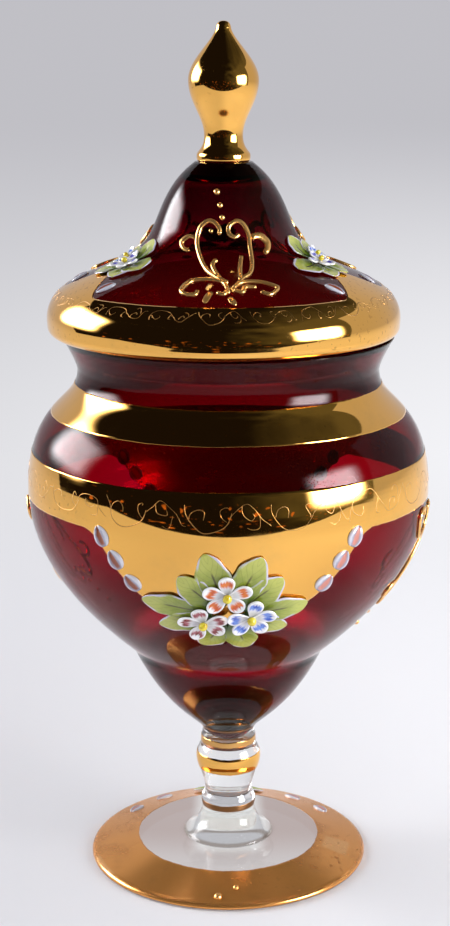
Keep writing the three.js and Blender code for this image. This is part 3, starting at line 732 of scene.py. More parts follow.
def bowl_glass():
    """The bowl: the outer line up to the lip, a rounded lip, and the inner line down to a floor."""
    inner_bulb = inward(bulb_line, BOWL_WALL)[10:-2]
    inner_belly = inward(belly_line, BOWL_WALL)[2:]
    inner_shoulder = inward(shoulder_line, BOWL_WALL)
    inner_lip = inward(lip_line, BOWL_WALL)[:-5]
    floor_z = BOWL_Z + BOWL_FLOOR
    floor = arc((0, floor_z), 0, 0.4, inner_bulb[0], 45, 0.35, 12)
    inside = chain(floor, inner_bulb, inner_belly, inner_shoulder, inner_lip)
    corner_in = (LIP_RADIUS - BOWL_WALL, LIP_Z)
    corner_out = (LIP_RADIUS, LIP_Z)
    profile = chain(
        ruby_drop(), bulb_line, belly_line, shoulder_line, lip_line[:-2],
        rounded(corner_out, lip_line[-3], corner_in, 0.5),
        rounded(corner_in, corner_out, inner_lip[-1], 0.5),
        inside[::-1],
    )
    turned(profile).build("bowl_glass", ruby_glass, "dish", "ruby_glass", ["bowl_shell"], sharp=50)


def lid_glass():
    """The lid: a flange inside the bowl's neck, a rolled rim, a broad shoulder and a dome. The
    inner line is the outer one moved inwards by the wall."""
    flange = NECK_RADIUS - BOWL_WALL - FLANGE_PLAY
    inner = flange - FLANGE_WALL
    low = SEAT_Z - FLANGE_DEPTH
    inner_roll = inward(chain(under_roll_line[8:], roll_line), LID_WALL)
    inner_shoulder = inward(lid_shoulder_line, LID_WALL)
    inner_dome = inward(dome_line, LID_WALL)
    inner_dome = inner_dome[inner_dome[:, 0] > 0.3 * DOME_TOP]
    inner_dome = inner_dome[inner_dome[:, 1] < DOME_Z - LID_CROWN - 1.5]
    crown = arc(inner_dome[-1], 130, 0.4, (0, DOME_Z - LID_CROWN), 180, 0.4, 10)
    inside = chain((inner, SEAT_Z + LID_WALL), inner_roll, inner_shoulder, inner_dome, crown)
    foot_in, foot_out = (inner, low), (flange, low)
    seat = (flange, SEAT_Z)
    profile = chain(
        inside[::-1],
        rounded(foot_in, inside[0], foot_out, 0.8), rounded(foot_out, foot_in, seat, 0.8),
        rounded(seat, foot_out, (LIP_RADIUS, SEAT_Z), 0.3),
        under_roll_line, roll_line, lid_shoulder_line, dome_line, (0, DOME_Z),
    )
    turned(profile, ROUND, LID_MIDDLE).build(
        "lid_glass", lid_ruby_glass, "lid", "ruby_glass", ["lid_shell"], sharp=50)


def gilded_finial():
    """The finial: a flared collar with a round edge, a waist, a drop and a small round tip,
    gilded all over."""
    collar_r, edge_h, flare_r, flare_h, waist_r, waist_h = 8.6, 1.8, 7.9, 3.3, 6.2, 8.0
    drop_r, drop_h, shoulder_h, tip_r, tip_h = 11.2, 17.3, 15.6, 2.45, 2.5
    edge, flare = (collar_r, DOME_Z + edge_h), (flare_r, DOME_Z + flare_h)
    waist = (waist_r, DOME_Z + waist_h)
    widest = (drop_r, waist[1] + drop_h)
    neck = (tip_r, widest[1] + shoulder_h)
    profile = chain(
        (0, DOME_Z), arc((collar_r - 0.7, DOME_Z), 20, 0.4, edge, 90, 0.5, 10),
        arc(edge, 90, 0.5, flare, 128, 0.35, 10), arc(flare, 128, 0.22, waist, 90, 0.5),
        arc(waist, 90, 0.335, widest, 90, 0.4), arc(widest, 90, 0.337, neck, 108, 0.24),
        arc(neck, 98, 0.45, (0, neck[1] + tip_h), 180, 0.5, 16),
    )
    turned(profile, SLIM_ROUND, LID_MIDDLE).build(
        "gilded_finial", finial_gold, "lid", "gilded_glass", ["finial"])


# Fired gold

FILM_LIFT, FILM_THICKNESS = 0.02, 0.05
SHOULDER_BAND = (156.7, 166.2)
BELLY_BAND = (129.8, 144.3)
LID_LINE_Z = 197.3
LID_VINE_Z = 195.0
LID_GROUP_AZIMUTHS = (65, -69, 180)
BOWL_GROUP_AZIMUTHS = (0, 180)


def ragged(azimuth, size, seed):
    """The unsteady edge of a painted band: a few waves that close round the axis."""
    turn = np.radians(azimuth)
    waves = ((7, 1.0), (19, 0.6), (43, 0.45), (97, 0.3))
    return size * sum(part * np.sin(count * turn + seed * count) for count, part in waves) / 2


def film(name, material, body, track, low, high, steps=720, across=24, worn=()):
    """A closed skin of gold between two edges. low and high give the distance up the track for
    each azimuth; the skin runs up outside and down again close to the glass. worn places are
    (azimuth, share of the width, and their half sizes in degrees and as a share)."""
    azimuth = np.arange(steps)[None, :] * 360 / steps
    share = np.concatenate((np.linspace(0, 1, across), np.linspace(1, 0, across)))[:, None]
    lift = np.concatenate((
        np.full(across, FILM_LIFT + FILM_THICKNESS), np.full(across, FILM_LIFT),
    ))[:, None]
    bottom, top = low(azimuth), high(azimuth)
    distance = bottom + (top - bottom) * share
    paint = np.zeros((*distance.shape, 3))
    paint[across:, :, 2] = 1.0
    for centre, middle, wide, deep in worn:
        off = np.maximum(from_group(azimuth, (centre,)) / wide, np.abs(share - middle) / deep)
        paint[:across, :, 0] += smooth_step((1.12 - off[:across]) / 0.24)
    skin = Skin()
    skin.add(track.place(distance, azimuth + 0 * share, lift + 0 * azimuth), paint, wrap_rows=True)
    skin.build(name, material, body, "gilded_glass")


def from_group(azimuth, groups):
    """The least angle to any of the flower groups."""
    return np.min([np.abs((azimuth - g + 180) % 360 - 180) for g in groups], axis=0)


def swag_edge(azimuth):
    """The lower edge of the belly gold: level between the groups, and hung in a swag to the
    flowers under each group, through the places of its border petals."""
    off = from_group(azimuth, BOWL_GROUP_AZIMUTHS)
    angles = (0, 12, 20, 26.3, 31.6, 35.2, 38.4, 41.5)
    heights = (97.5, 100.5, 105.2, 110.4, 117.4, 123.9, 128.0, BELLY_BAND[0])
    smooth = spline(np.stack((angles, heights), 1), 0.5)
    return bowl_track.where(np.interp(off, smooth[:, 0], smooth[:, 1])) + ragged(azimuth, 0.16, 2.0)


def lid_gold_edge(azimuth):
    """The upper edge of the lid's gold: level, with a soft peak under each flower group."""
    off = from_group(azimuth, LID_GROUP_AZIMUTHS)
    peak = smooth_step((19.0 - off) / 17.0)
    return lid_track.where(LID_LINE_Z) + 14.0 * peak + ragged(azimuth, 0.10, 5.0)


def level(track, height, seed, size=0.12):
    """The edge of a band that runs level round the glass, as far as a steady hand can."""
    return lambda azimuth: track.where(height) + ragged(azimuth, size, seed)


def at_start(distance):
    """The edge of a band that begins a little above the foot of its track."""
    return lambda azimuth: distance + 0 * azimuth


def gold_bands():
    """Each band or line is a film between two edges on the track of the glass that it lies on."""
    knop, collar, merese = Track(knop_side), Track(collar_foot), Track(upper_merese_side)
    film("bowl_belly_gold", bright_gold, "dish", bowl_track, swag_edge,
         level(bowl_track, BELLY_BAND[1], 3.0), across=40)
    film("bowl_shoulder_gold", lit_gold, "dish", bowl_track,
         level(bowl_track, SHOULDER_BAND[0], 1.0), level(bowl_track, SHOULDER_BAND[1], 4.0))
    film("lid_rim_gold", lit_gold, "lid", lid_track, at_start(0.4), lid_gold_edge, across=48)
    film("foot_ring_gold", worn_gold, "dish", foot_track, at_start(0.5),
         level(foot_track, ring_z, 6.0, 0.2), across=40,
         worn=((78, 0.60, 7.0, 0.24), (-66, 0.10, 9.0, 0.06), (150, 0.3, 6.0, 0.12)))
    film("knop_gold", bright_gold, "dish", knop, level(knop, 31.1, 1.5), level(knop, 36.9, 2.5), 360)
    for name, material, track, low, high in (
        ("upper_merese_gold_line", brown_gold, merese,
         level(merese, MERESE_Z + 0.9, 3.5), level(merese, MERESE_Z + 3.0, 3.5)),
        ("bowl_seat_gold_line", line_gold, bowl_track,
         at_start(0.05), level(bowl_track, BOWL_Z + 1.0, 3.5)),
        ("lower_merese_gold_line", line_gold, collar, at_start(0.05), level(collar, COLLAR_Z + 2.2, 4.5)),
    ):
        film(name, material, "dish", track, low, high, steps=360, across=8)


# Engraved vine on the gold: one repeat, x along the band and y across it from its middle
VINE_REPEAT, SCRATCH_WIDTHS, SCRATCH_RELIEF = 26.0, (0.14, 0.28), 0.07
VINE = (
    ((0.0, 4.0), (0.4, 1.2), (2.2, -2.4), (5.6, -4.2), (9.6, -3.8), (12.6, -1.6), (14.2, 1.4)),
    ((1.2, -0.8), (2.2, 1.6), (4.2, 2.6), (5.8, 1.5), (5.6, -0.2)),
    ((12.8, -1.4), (11.4, 0.4), (11.0, 2.4), (12.2, 3.2), (13.0, 2.2)),
    ((13.6, 0.2), (15.6, 2.6), (18.4, 3.5), (21.2, 2.2), (23.0, -0.2), (24.6, -2.2), (26.4, -2.8)),
    ((17.0, 3.3), (17.4, 0.8), (19.2, -0.6), (20.8, 0.4), (20.0, 1.8)),
    ((22.4, 0.6), (22.0, -2.4), (20.4, -3.6), (19.0, -2.6)),
)


def engraving(name, body, track, height, scale, azimuths):
    """The vine, repeated round a band: each scratch is a fine low cord on the gold. No two
    repeats are quite alike, since the vine is drawn by hand."""
    hand = np.random.default_rng(7)
    skin = Skin()
    for azimuth in azimuths:
        flip = hand.choice((-1.0, 1.0))
        stretch = hand.uniform(0.75, 1.1)
        for points in VINE:
            drawn = (np.array(points) - (VINE_REPEAT / 2, 0)) * (scale, scale * flip * stretch)
            drawn += hand.normal(0, 0.32 * scale, drawn.shape)
            width = hand.uniform(*SCRATCH_WIDTHS)
            grid = cord_of_paste(spline(drawn, 0.45), width, SCRATCH_RELIEF, sink=-0.03, sides=6)
            add_flat(skin, track, azimuth, height, grid, *ring_ends(grid))
    skin.build(name, scratched_gold, body, "raised_gold")


def engravings():
    """The vine round the middle of the belly band, and a smaller one round the lid's rim."""
    belly_z = (BELLY_BAND[0] + BELLY_BAND[1]) / 2
    for name, body, track, height, scale, repeats in (
        ("belly_band_vine", "dish", bowl_track, belly_z, 1.0, 16),
        ("lid_rim_vine", "lid", lid_track, LID_VINE_Z, 0.55, 22),
    ):
        engraving(name, body, track, height, scale, np.arange(repeats) * 360 / repeats)


# Raised scrolls, in millimetres from the middle of their foot
SCROLL = (
    ((1.4, 13.1), (-1.6, 16.1), (-5.2, 20.9), (-7.6, 27.9), (-8.2, 31.9), (-7.5, 35.8), (-6.1, 37.9),
     (-4.2, 38.9), (-2.3, 38.0), (-1.1, 35.9), (-1.5, 34.3)),
    ((-8.3, 33.0), (-11.0, 33.6), (-13.5, 31.3), (-12.5, 29.1), (-10.5, 28.8)),
    ((4.1, 11.5), (5.7, 15.5), (8.2, 18.7), (8.8, 23.9), (8.2, 30.2), (7.7, 34.5), (6.1, 37.7),
     (4.0, 38.8), (1.7, 37.2), (1.7, 34.9), (3.5, 33.5), (5.0, 34.8)),
    ((0.1, 13.1), (-1.9, 18.0), (-3.3, 22.6), (-2.6, 24.8), (-1.6, 25.0)),
    ((5.2, 14.5), (5.1, 21.8), (5.5, 27.0)),
    ((1.6, 7.1), (0.1, 13.1), (-4.6, 15.0), (-9.7, 13.8), (-12.7, 8.5), (-11.6, 6.3), (-8.6, 6.1),
     (-7.6, 8.3)),
    ((1.4, 9.5), (0.1, 6.5), (-2.1, 7.6)),
    ((2.9, 10.0), (5.4, 13.0), (10.5, 13.2), (15.2, 10.7), (16.7, 8.6), (14.2, 5.9), (11.2, 7.7)),
    ((3.1, 9.0), (5.8, 7.5), (6.6, 10.3), (10.2, 10.1)),
)
SCROLL_HOOK = ((8.4, 33.4), (11.4, 33.7), (14.0, 31.6), (14.3, 29.3), (13.2, 27.4))
SCROLL_DOTS = ((-2.0, 48.2, 1.0), (-1.0, 43.8, 0.85), (-0.4, 39.9, 0.85), (-3.8, 35.6, 0.7))
SCROLL_TAILS = (((-3.4, 8.2), (-4.6, 5.6), (-5.6, 2.2)), ((1.8, 5.4), (2.6, 3.4), (3.7, 1.3)))
SCROLL_WIDTH, SCROLL_RELIEF, TAIL_WIDTH, TAIL_RELIEF = 1.4, 1.1, 2.0, 0.35


def raised_scroll(node, body, track, azimuth, height, scale=1.0, flip=1, foot=0.0, tails=()):
    """Two C-curves with hooks, sprigs, side curls and dots, drawn in paste and gilded, with the
    flat tails that are given under them."""
    skin = Skin()
    lines = [(line, SCROLL_WIDTH) for line in SCROLL] + [(SCROLL_HOOK, 1.6 * SCROLL_WIDTH)]
    for points, width in lines:
        line = (np.array(points) - (0, foot)) * (scale, flip * scale)
        grid = cord_of_paste(spline(line, 0.5), width, SCROLL_RELIEF, bead=1.25)
        add_flat(skin, track, azimuth, height, grid, *ring_ends(grid))
    for x, y, radius in SCROLL_DOTS:
        bead = bead_of_paste(x * scale, flip * (y - foot) * scale, radius, 0.35 * radius)
        add_flat(skin, track, azimuth, height, *bead)
    for points in tails:
        grid = cord_of_paste(spline(points, 0.5), TAIL_WIDTH, TAIL_RELIEF, sink=0.05)
        add_flat(skin, track, azimuth, height, grid, *ring_ends(grid))
    skin.build(f"{node}_paste", paste_gold, body, "raised_gold", [node])


def raised_scrolls():
    """Three scrolls stand on the lid's gold edge, and two hang from the belly band."""
    for side, azimuth in (("front", 0), ("back_right", 123), ("back_left", -127)):
        raised_scroll(f"lid_scroll_{side}", "lid", lid_track, azimuth, LID_LINE_Z, tails=SCROLL_TAILS)
    for side, azimuth in (("right", 81), ("left", -99)):
        raised_scroll(f"bowl_scroll_{side}", "dish", bowl_track, azimuth, BELLY_BAND[0] - 1.3,
                      scale=1.15, flip=-1, foot=5.4)


# Enamel

PETAL_CURL = 0.55  # how far a petal's tip rises above its foot
FIFTHS = 72 * np.arange(5)


def aimed(along, side, z, cos, sin):
    """The grid of a form whose length points the way that cos and sin give."""
    return np.stack((cos * along - sin * side, sin * along + cos * side, z), -1)


def painted(share, across, part=0.0):
    """Paint values for a form: along it, across it, and which part it is."""
    return np.stack(np.broadcast_arrays(share, across, part), -1)


def petal(length, width, direction, lift, rows=18, sides=20):
    """One petal from its middle outwards. Its outline widens to two thirds and ends round; its
    section is a ring whose upper half is hollowed, and the hollow fills up towards the tip."""
    t = np.linspace(0.03, 1, rows)[:, None]
    share = 0.995 * (1 - (1 - t) ** 1.5)
    a, b = ring_of(sides)
    widen = 0.30 + 0.70 * np.sin(np.pi / 2 * np.clip(share / 0.66, 0, 1)) ** 1.6
    close = np.sqrt(1 - np.clip((share - 0.66) / 0.34, 0, 1) ** 2)
    half = width / 2 * widen * close
    thick = (0.5 + 0.45 * share) * (0.35 + 0.65 * close)
    hollow = 0.85 * smooth_step(share / 0.2) * smooth_step((0.97 - share) / 0.18)
    upper = np.clip(b, 0, 1) ** 0.7 * (1 - hollow * (1 - a**2) ** 1.2)
    z = lift + PETAL_CURL * share**2 + thick * (upper + 0.35 * np.clip(b, -1, 0))
    turn = math.radians(direction)
    grid = aimed(length * share, half * a, z, math.cos(turn), math.sin(turn))
    return grid, painted(share, a, np.where(b > -0.05, 0.0, 0.35))


def moved(form, x, y):
    """A form with its origin moved to (x, y), and the two points that close its ends."""
    grid, paint = form
    grid[..., :2] += (x, y)
    return grid, *ring_ends(grid), paint


def flower(x, y, petals, length, width, lift, bead):
    """The forms of five petals round a bead. petals are their directions in degrees; each one's
    size and stand change a little from petal to petal, as in work laid by hand."""
    forms = []
    for i, direction in enumerate(petals):
        size = 1 + 0.07 * math.sin(2.4 * i + x)
        stand = lift + 0.28 * (i % 2) + 0.1 * math.sin(1.7 * i)
        forms.append(moved(petal(length * size, width * (2 - size), direction, stand), x, y))
    grid, top, bottom = bead_of_paste(x, y, bead, lift + 0.75 + 0.35 * bead)
    paint = np.zeros(grid.shape)
    paint[..., 2] = 1.0
    return [*forms, (grid, top, bottom, paint)]


def leaf(tip_x, tip_y, width, lift, rows=30, sides=28):
    """One leaf from near the group's middle to its tip. The outline is a pointed oval with a
    slightly waved edge; its two halves rise from a sunk midrib to lifted edges."""
    reach = math.hypot(tip_x, tip_y)
    root = 0.16 * reach
    share = np.linspace(0.02, 0.995, rows)[:, None]
    a, b = ring_of(sides)
    wave = 1 + 0.05 * np.sin(19 * share + 2 * np.sign(a) + tip_x) * smooth_step(share / 0.5)
    half = width / 2 * np.sin(np.pi * share**1.22) ** 0.62 * wave
    thick = 0.5 * (0.35 + 0.65 * np.sin(np.pi * share) ** 0.5)
    rib = 0.75 * np.exp(-((a / 0.13) ** 2)) * smooth_step((0.8 - share) / 0.3)
    upper = np.clip(b, 0, 1) ** 0.5 * (1 - rib)
    cup = 0.45 * np.abs(a) ** 1.5 * np.sin(np.pi * share) ** 0.5
    z = lift + 0.25 * share**2 + cup + thick * (upper + 0.4 * np.clip(b, -1, 0))
    bend = 0.05 * width * np.sin(np.pi * share) * math.sin(tip_x + tip_y)
    along = root + (reach - root) * share
    return aimed(along, half * a + bend, z, tip_x / reach, tip_y / reach), painted(share, a)


def twin_petal(length, width, direction, rows=20, sides=24):
    """A border petal like a split bean: an oval outline notched at its far end, and a section of
    two round lobes with a cleft between them."""
    share = np.linspace(0.03, 0.985, rows)[:, None]
    a, b = ring_of(sides)
    half = width / 2 * np.sin(np.pi * share**0.85) ** 0.55
    notch = 0.16 * length * np.exp(-((a / 0.35) ** 2)) * smooth_step((share - 0.55) / 0.45)
    thick = np.sin(np.pi * share) ** 0.4
    cleft = 0.72 * np.exp(-((a / 0.3) ** 2)) * smooth_step(share / 0.25)
    z = 0.1 + thick * (np.clip(b, 0, 1) ** 0.7 * (1 - cleft) + 0.2 * np.clip(b, -1, 0))
    turn = math.radians(direction)
    grid = aimed(length * (share - 0.5) - notch, half * a, z, math.cos(turn), math.sin(turn))
    return grid, painted(share, a)


def leaves(tips, root=(0, 0)):
    """The forms of leaves from one root to their tips (x, y, width), which lie by turns low and
    a little higher."""
    return [moved(leaf(x, y, width, 0.2 + 0.22 * (i % 2)), *root) for i, (x, y, width) in enumerate(tips)]


def enamel_piece(node, material, body, spot, forms, slot="flower_enamel"):
    """Lays forms on the glass at a spot (track, azimuth, height), as the piece that stands for a
    node."""
    skin = Skin()
    for form in forms:
        add_flat(skin, *spot, *form)
    skin.build(f"{node}_enamel", material, body, slot, [node])


BOWL_LEAVES = (
    (-7.1, 23.2, 10.5), (10.1, 22.1, 10.5), (-15.2, 15.0, 9.5), (16.5, 14.9, 9.5), (-27.1, 5.4, 9.0),
    (24.6, 4.6, 9.0), (-21.7, -5.6, 9.0), (18.1, -5.4, 9.0), (-8.0, -15.4, 9.6), (5.6, -16.2, 9.8),
)
BOWL_FLOWERS = (
    ("top", orange_petals, -0.3, 8.9, (92, 23, -52, -135, 165), 1.1),
    ("left", maroon_petals, -7.4, -2.7, (105, 26, -33, -112, 172), 1.35),
    ("right", blue_petals, 6.8, 0.4, (76, 16, -57, -128, 180), 1.9),
)
BOWL_BORDER = ((41.1, 25.1, -64), (36.0, 18.1, -55), (30.2, 10.7, -45))
BOWL_GROUP_Z = 104.5
LID_LEAVES = {
    "right": ((0, 0), ((-3.3, 12.0, 8.0), (5.0, 9.5, 7.0), (9.5, -2.3, 7.5), (5.0, -9.5, 7.6),
                       (-5.6, -9.2, 8.0), (-14.0, -2.5, 9.0))),
    "left": ((4.0, -1.0), ((-0.6, 11.6, 7.6), (9.6, -2.0, 9.6), (5.0, -8.6, 7.6), (-9.0, 6.5, 7.0),
                           (-9.6, -9.0, 7.4), (-12.6, -2.3, 7.6))),
    "back": ((0, 0), ((-1.5, 12.2, 7.4), (7.0, 10.2, 7.0), (12.6, -2.3, 7.8), (9.6, -11.2, 7.6),
                      (-9.6, -11.2, 7.6), (-12.6, -2.3, 7.8))),
}
LID_FLOWERS = {
    "right": ((-2.7, -1.8), (2.5, 2.0)), "left": ((6.0, -2.8), (-0.2, 0.6)),
    "back": ((-2.7, -1.8), (2.5, 2.0)),
}
LID_GROUP_Z = 206.0
# A petal's length and width, the bead's radius, and the border petals' lengths and widths
LARGE_FLOWER, LARGE_BEAD = (7.5, 5.0), 1.4
SMALL_FLOWER, SMALL_BEAD = (4.7, 3.2), 0.95
BOWL_TWIN, LID_TWIN, FOOT_TWIN = (7.2, 5.4), (6.2, 4.1), (6.6, 4.2)


def bowl_enamel():
    """A group of leaves, three flowers and six border petals in front, and the same behind."""
    for side, azimuth in zip(("front", "back"), BOWL_GROUP_AZIMUTHS):
        spot = (bowl_track, azimuth, BOWL_GROUP_Z)
        enamel_piece(f"bowl_leaves_{side}", leaf_enamel, "dish", spot, leaves(BOWL_LEAVES), "leaf_enamel")
        for place, material, x, y, directions, lift in BOWL_FLOWERS:
            forms = flower(x, y, directions, *LARGE_FLOWER, lift, LARGE_BEAD)
            enamel_piece(f"bowl_flower_{side}_{place}", material, "dish", spot, forms)
        for hand, sign, material in (("left", -1, terracotta_border), ("right", 1, rose_border)):
            for i, (x, y, lean) in enumerate(BOWL_BORDER):
                form = twin_petal(*BOWL_TWIN, 180 + (lean if sign < 0 else 180 - lean))
                node = f"bowl_petal_{side}_{hand}_{i + 1}"
                enamel_piece(node, material, "dish", spot, [moved(form, sign * x, y)])


def lid_enamel():
    """Three groups of leaves, two flowers and two border petals."""
    for side, azimuth in zip(("right", "left", "back"), LID_GROUP_AZIMUTHS):
        spot = (lid_track, azimuth, LID_GROUP_Z)
        root, tips = LID_LEAVES[side]
        enamel_piece(f"lid_leaves_{side}", leaf_enamel, "lid", spot, leaves(tips, root), "leaf_enamel")
        kinds = ((violet_petals, 1.9, 20), (blue_petals, 1.1, 50))
        for i, ((x, y), (material, lift, turn)) in enumerate(zip(LID_FLOWERS[side], kinds)):
            forms = flower(x, y, turn + FIFTHS, *SMALL_FLOWER, lift, SMALL_BEAD)
            enamel_piece(f"lid_flower_{side}_{i + 1}", material, "lid", spot, forms)
        for i, (x, lean) in enumerate(((-14.0, -80), (14.0, 260))):
            form = moved(twin_petal(*LID_TWIN, lean), x, -15.0)
            enamel_piece(f"lid_petal_{side}_{i + 1}", terracotta_border, "lid", spot, [form])


def ring_height(radius):
    """The height of the foot's sloping ring at a radius."""
    return FOOT_EDGE + RING_RISE * (FOOT_RADIUS - radius) / (FOOT_RADIUS - RING_INNER)


def foot_enamel():
    """Four leaves and a flower behind the stem, two petals to each side, and two dots in front."""
    z = ring_height(FOOT_RADIUS - 7.2)
    spot = (foot_track, 180, z)
    tips = ((-13.0, 1.5, 6.0), (13.0, 1.5, 6.0), (-8.5, 5.5, 5.5), (8.5, 5.5, 5.5))
    enamel_piece("foot_leaves", leaf_enamel, "dish", spot, leaves(tips), "leaf_enamel")
    forms = flower(0, 0.5, 90 + FIFTHS, *SMALL_FLOWER, 1.1, SMALL_BEAD)
    enamel_piece("foot_flower", blue_petals, "dish", spot, forms)
    for i, offset in enumerate((-56, -36, 36, 56)):
        form = moved(twin_petal(*FOOT_TWIN, 0), 0, 0)
        enamel_piece(f"foot_petal_{i + 1}", rose_border, "dish", (foot_track, 180 + offset, z), [form])
    dots = Skin()
    for azimuth, radius, size in ((-4.5, 43.2, 1.35), (3.7, 39.0, 0.95)):
        dot = bead_of_paste(0, 0, size, 0.1, 0.75 * size)
        add_flat(dots, foot_track, azimuth, ring_height(radius), *dot)
    dots.build("foot_gold_dots", paste_gold, "dish", "raised_gold")


foot_glass()
stem_glass()
bowl_glass()
lid_glass()
gilded_finial()
gold_bands()
engravings()
raised_scrolls()
bowl_enamel()
lid_enamel()
foot_enamel()


# Set: a pale table, a dark room in front, and a soft lamp to each side

# Painted light on the paper as camera, metal and glass see it: darker on the left, lighter on the right
# where the right lamp is stronger, and fading to the far grey further off.
SWEEP_LEFT, SWEEP_RIGHT = (0.72, 0.72, 0.75, 1), (0.93, 0.93, 0.96, 1)
SWEEP_FAR = (0.53, 0.525, 0.56, 1)
# Painted light for the table under the foot, which only shows through the glass: darker behind,
# lighter in front, and lightest in a strip under the bell
PAINTED_UNDER_FOOT_BACK, PAINTED_UNDER_FOOT_FRONT = (0.49, 0.40, 0.385, 1), (0.64, 0.60, 0.605, 1)
PAINTED_UNDER_BELL = (0.80, 0.79, 0.79, 1)


def background_rays(tree):
    """1 for rays from the camera, from metal and through glass, which see the paper itself."""
    path = wire(tree, "ShaderNodeLightPath")
    seen = math_node(tree, "MAXIMUM", path.outputs["Is Camera Ray"], path.outputs["Is Glossy Ray"])
    return math_node(tree, "MAXIMUM", seen, path.outputs["Is Transmission Ray"])


def shining(tree, tone, strength=1.0):
    """A surface that gives light of its own in a tone."""
    return wire(tree, "ShaderNodeEmission", {}, {"Color": tone, "Strength": strength}).outputs[0]


def mixed_surface(tree, share, a, b):
    """Surface a where share is 0 and surface b where it is 1."""
    return wire(tree, "ShaderNodeMixShader", {}, {0: share, 1: a, 2: b}).outputs[0]


def flat_sheet(name, points, faces, material):
    """A plain mesh of the set, which isn't part of the dish."""
    mesh = bpy.data.meshes.new(name)
    mesh.from_pydata(points, [], faces)
    mesh.materials.append(material)
    sheet = bpy.data.objects.new(name, mesh)
    bpy.context.scene.collection.objects.link(sheet)
    return sheet


def table_top():
    """A wide pale table. Near the dish it takes light and shadow, on a colour painted lighter to the
    right, where the right lamp is stronger; further off it fades, in painted light that is lighter
    to the right and darker with distance, into the even grey of the paper behind. Through the
    foot's glass it shows a painted light of its own: darker behind, lighter in front, and lightest
    in a strip under the bell."""
    material, tree, output = new_material("pale_table")
    place = object_place(tree)
    away = wire(tree, "ShaderNodeVectorMath", {"operation": "LENGTH"}, {0: place}).outputs["Value"]
    across, depth, _ = parts_of(tree, place)
    # Painted light: the paper's colour is lighter to the right, where the right lamp is stronger.
    paper_with_painted_light = mixed(tree, ramp(tree, across, -0.14, 0.12), (0.70, 0.695, 0.73, 1), (0.96, 0.955, 0.99, 1))
    near = wire(tree, "ShaderNodeBsdfDiffuse", {}, {"Color": paper_with_painted_light}).outputs[0]
    close_tone = mixed(tree, ramp(tree, across, -0.35, 0.30), SWEEP_LEFT, SWEEP_RIGHT)
    distance = math_node(tree, "LOGARITHM", away, 10.0)
    far_tone = mixed(tree, ramp(tree, distance, -0.3, 0.75), close_tone, SWEEP_FAR)
    # Painted light under the foot, seen only through the glass.
    painted_under_tone = mixed(tree, ramp(tree, depth, 0.010, -0.022), PAINTED_UNDER_FOOT_BACK, PAINTED_UNDER_FOOT_FRONT)
    behind_bell = product(tree, ramp(tree, depth, -0.012, -0.002),
                          ramp(tree, math_node(tree, "ABSOLUTE", across), 0.014, 0.008))
    under_foot = ramp(tree, away, 0.050, 0.044)
    far_tone = coated(tree, far_tone, (under_foot, mixed(tree, behind_bell, painted_under_tone, PAINTED_UNDER_BELL)))
    path = wire(tree, "ShaderNodeLightPath")
    under = product(tree, under_foot, path.outputs["Is Transmission Ray"])
    fade = product(tree, ramp(tree, away, 0.16, 0.62), background_rays(tree))
    fade = math_node(tree, "MAXIMUM", fade, under)
    tree.links.new(mixed_surface(tree, fade, near, shining(tree, far_tone)), output.inputs["Surface"])
    bpy.ops.mesh.primitive_circle_add(vertices=96, radius=14, fill_type="NGON")
    floor = bpy.context.object
    floor.name = "table_top"
    floor.data.materials.append(material)


ROOM_RADIUS, ROOM_HEIGHT, ROOM_STEPS = 1.5, 1.3, 80


def round_line(low, high, z):
    """Points on the room's upright cylinder at height z, between two azimuths."""
    turn = np.radians(np.linspace(low, high, ROOM_STEPS))
    return np.stack((ROOM_RADIUS * np.sin(turn), -ROOM_RADIUS * np.cos(turn), z + 0 * turn), 1)


def dark_room():
    """The unlit room in front of the table, which only reflections and glass see: a tall screen
    round the front, a ceiling, and an apron from the table's front edge outwards. Its sheets are a
    painted reflection that glows faintly: near black, olive grey to the right, with orange glints
    low down."""
    material, tree, output = new_material("dark_room")
    place = object_place(tree)
    across, _, height = parts_of(tree, place)
    # Painted reflection: the room glows faintly, olive grey to the right, with orange glints low down.
    cloud = math_node(tree, "MULTIPLY_ADD", noise(tree, place, 1.6, 3.0), 1.6, across)
    specks = ramp(tree, noise(tree, place, 9.0, 1.0), 0.67, 0.71)
    glint = product(tree, specks, ramp(tree, height, 0.30, 0.10))
    tone = coated(tree, (0.010, 0.008, 0.007, 1), (ramp(tree, cloud, 0.9, 2.2), (0.12, 0.12, 0.085, 1)),
                  (glint, (0.60, 0.22, 0.06, 1)))
    tree.links.new(shining(tree, tone), output.inputs["Surface"])
    screen = np.vstack((round_line(-106, 86, 0.0), round_line(-132, 92, ROOM_HEIGHT)))
    faces = [(i, i + 1, ROOM_STEPS + 1 + i, ROOM_STEPS + i) for i in range(ROOM_STEPS - 1)]
    ceiling = round_line(0, 360 - 360 / ROOM_STEPS, ROOM_HEIGHT)
    edge, wide, deep, lift = -0.55, 3.0, 4.0, 0.002
    apron = [(-wide, edge, lift), (wide, edge, lift), (wide, -deep, lift), (-wide, -deep, lift)]
    for name, points, polygons in (
        ("dark_screen", screen.tolist(), faces), ("dark_apron", apron, [(0, 1, 2, 3)]),
        ("dark_ceiling", ceiling.tolist(), [tuple(range(ROOM_STEPS))]),
    ):
        sheet = flat_sheet(name, points, polygons, material)
        sheet.visible_camera = sheet.visible_diffuse = sheet.visible_shadow = False


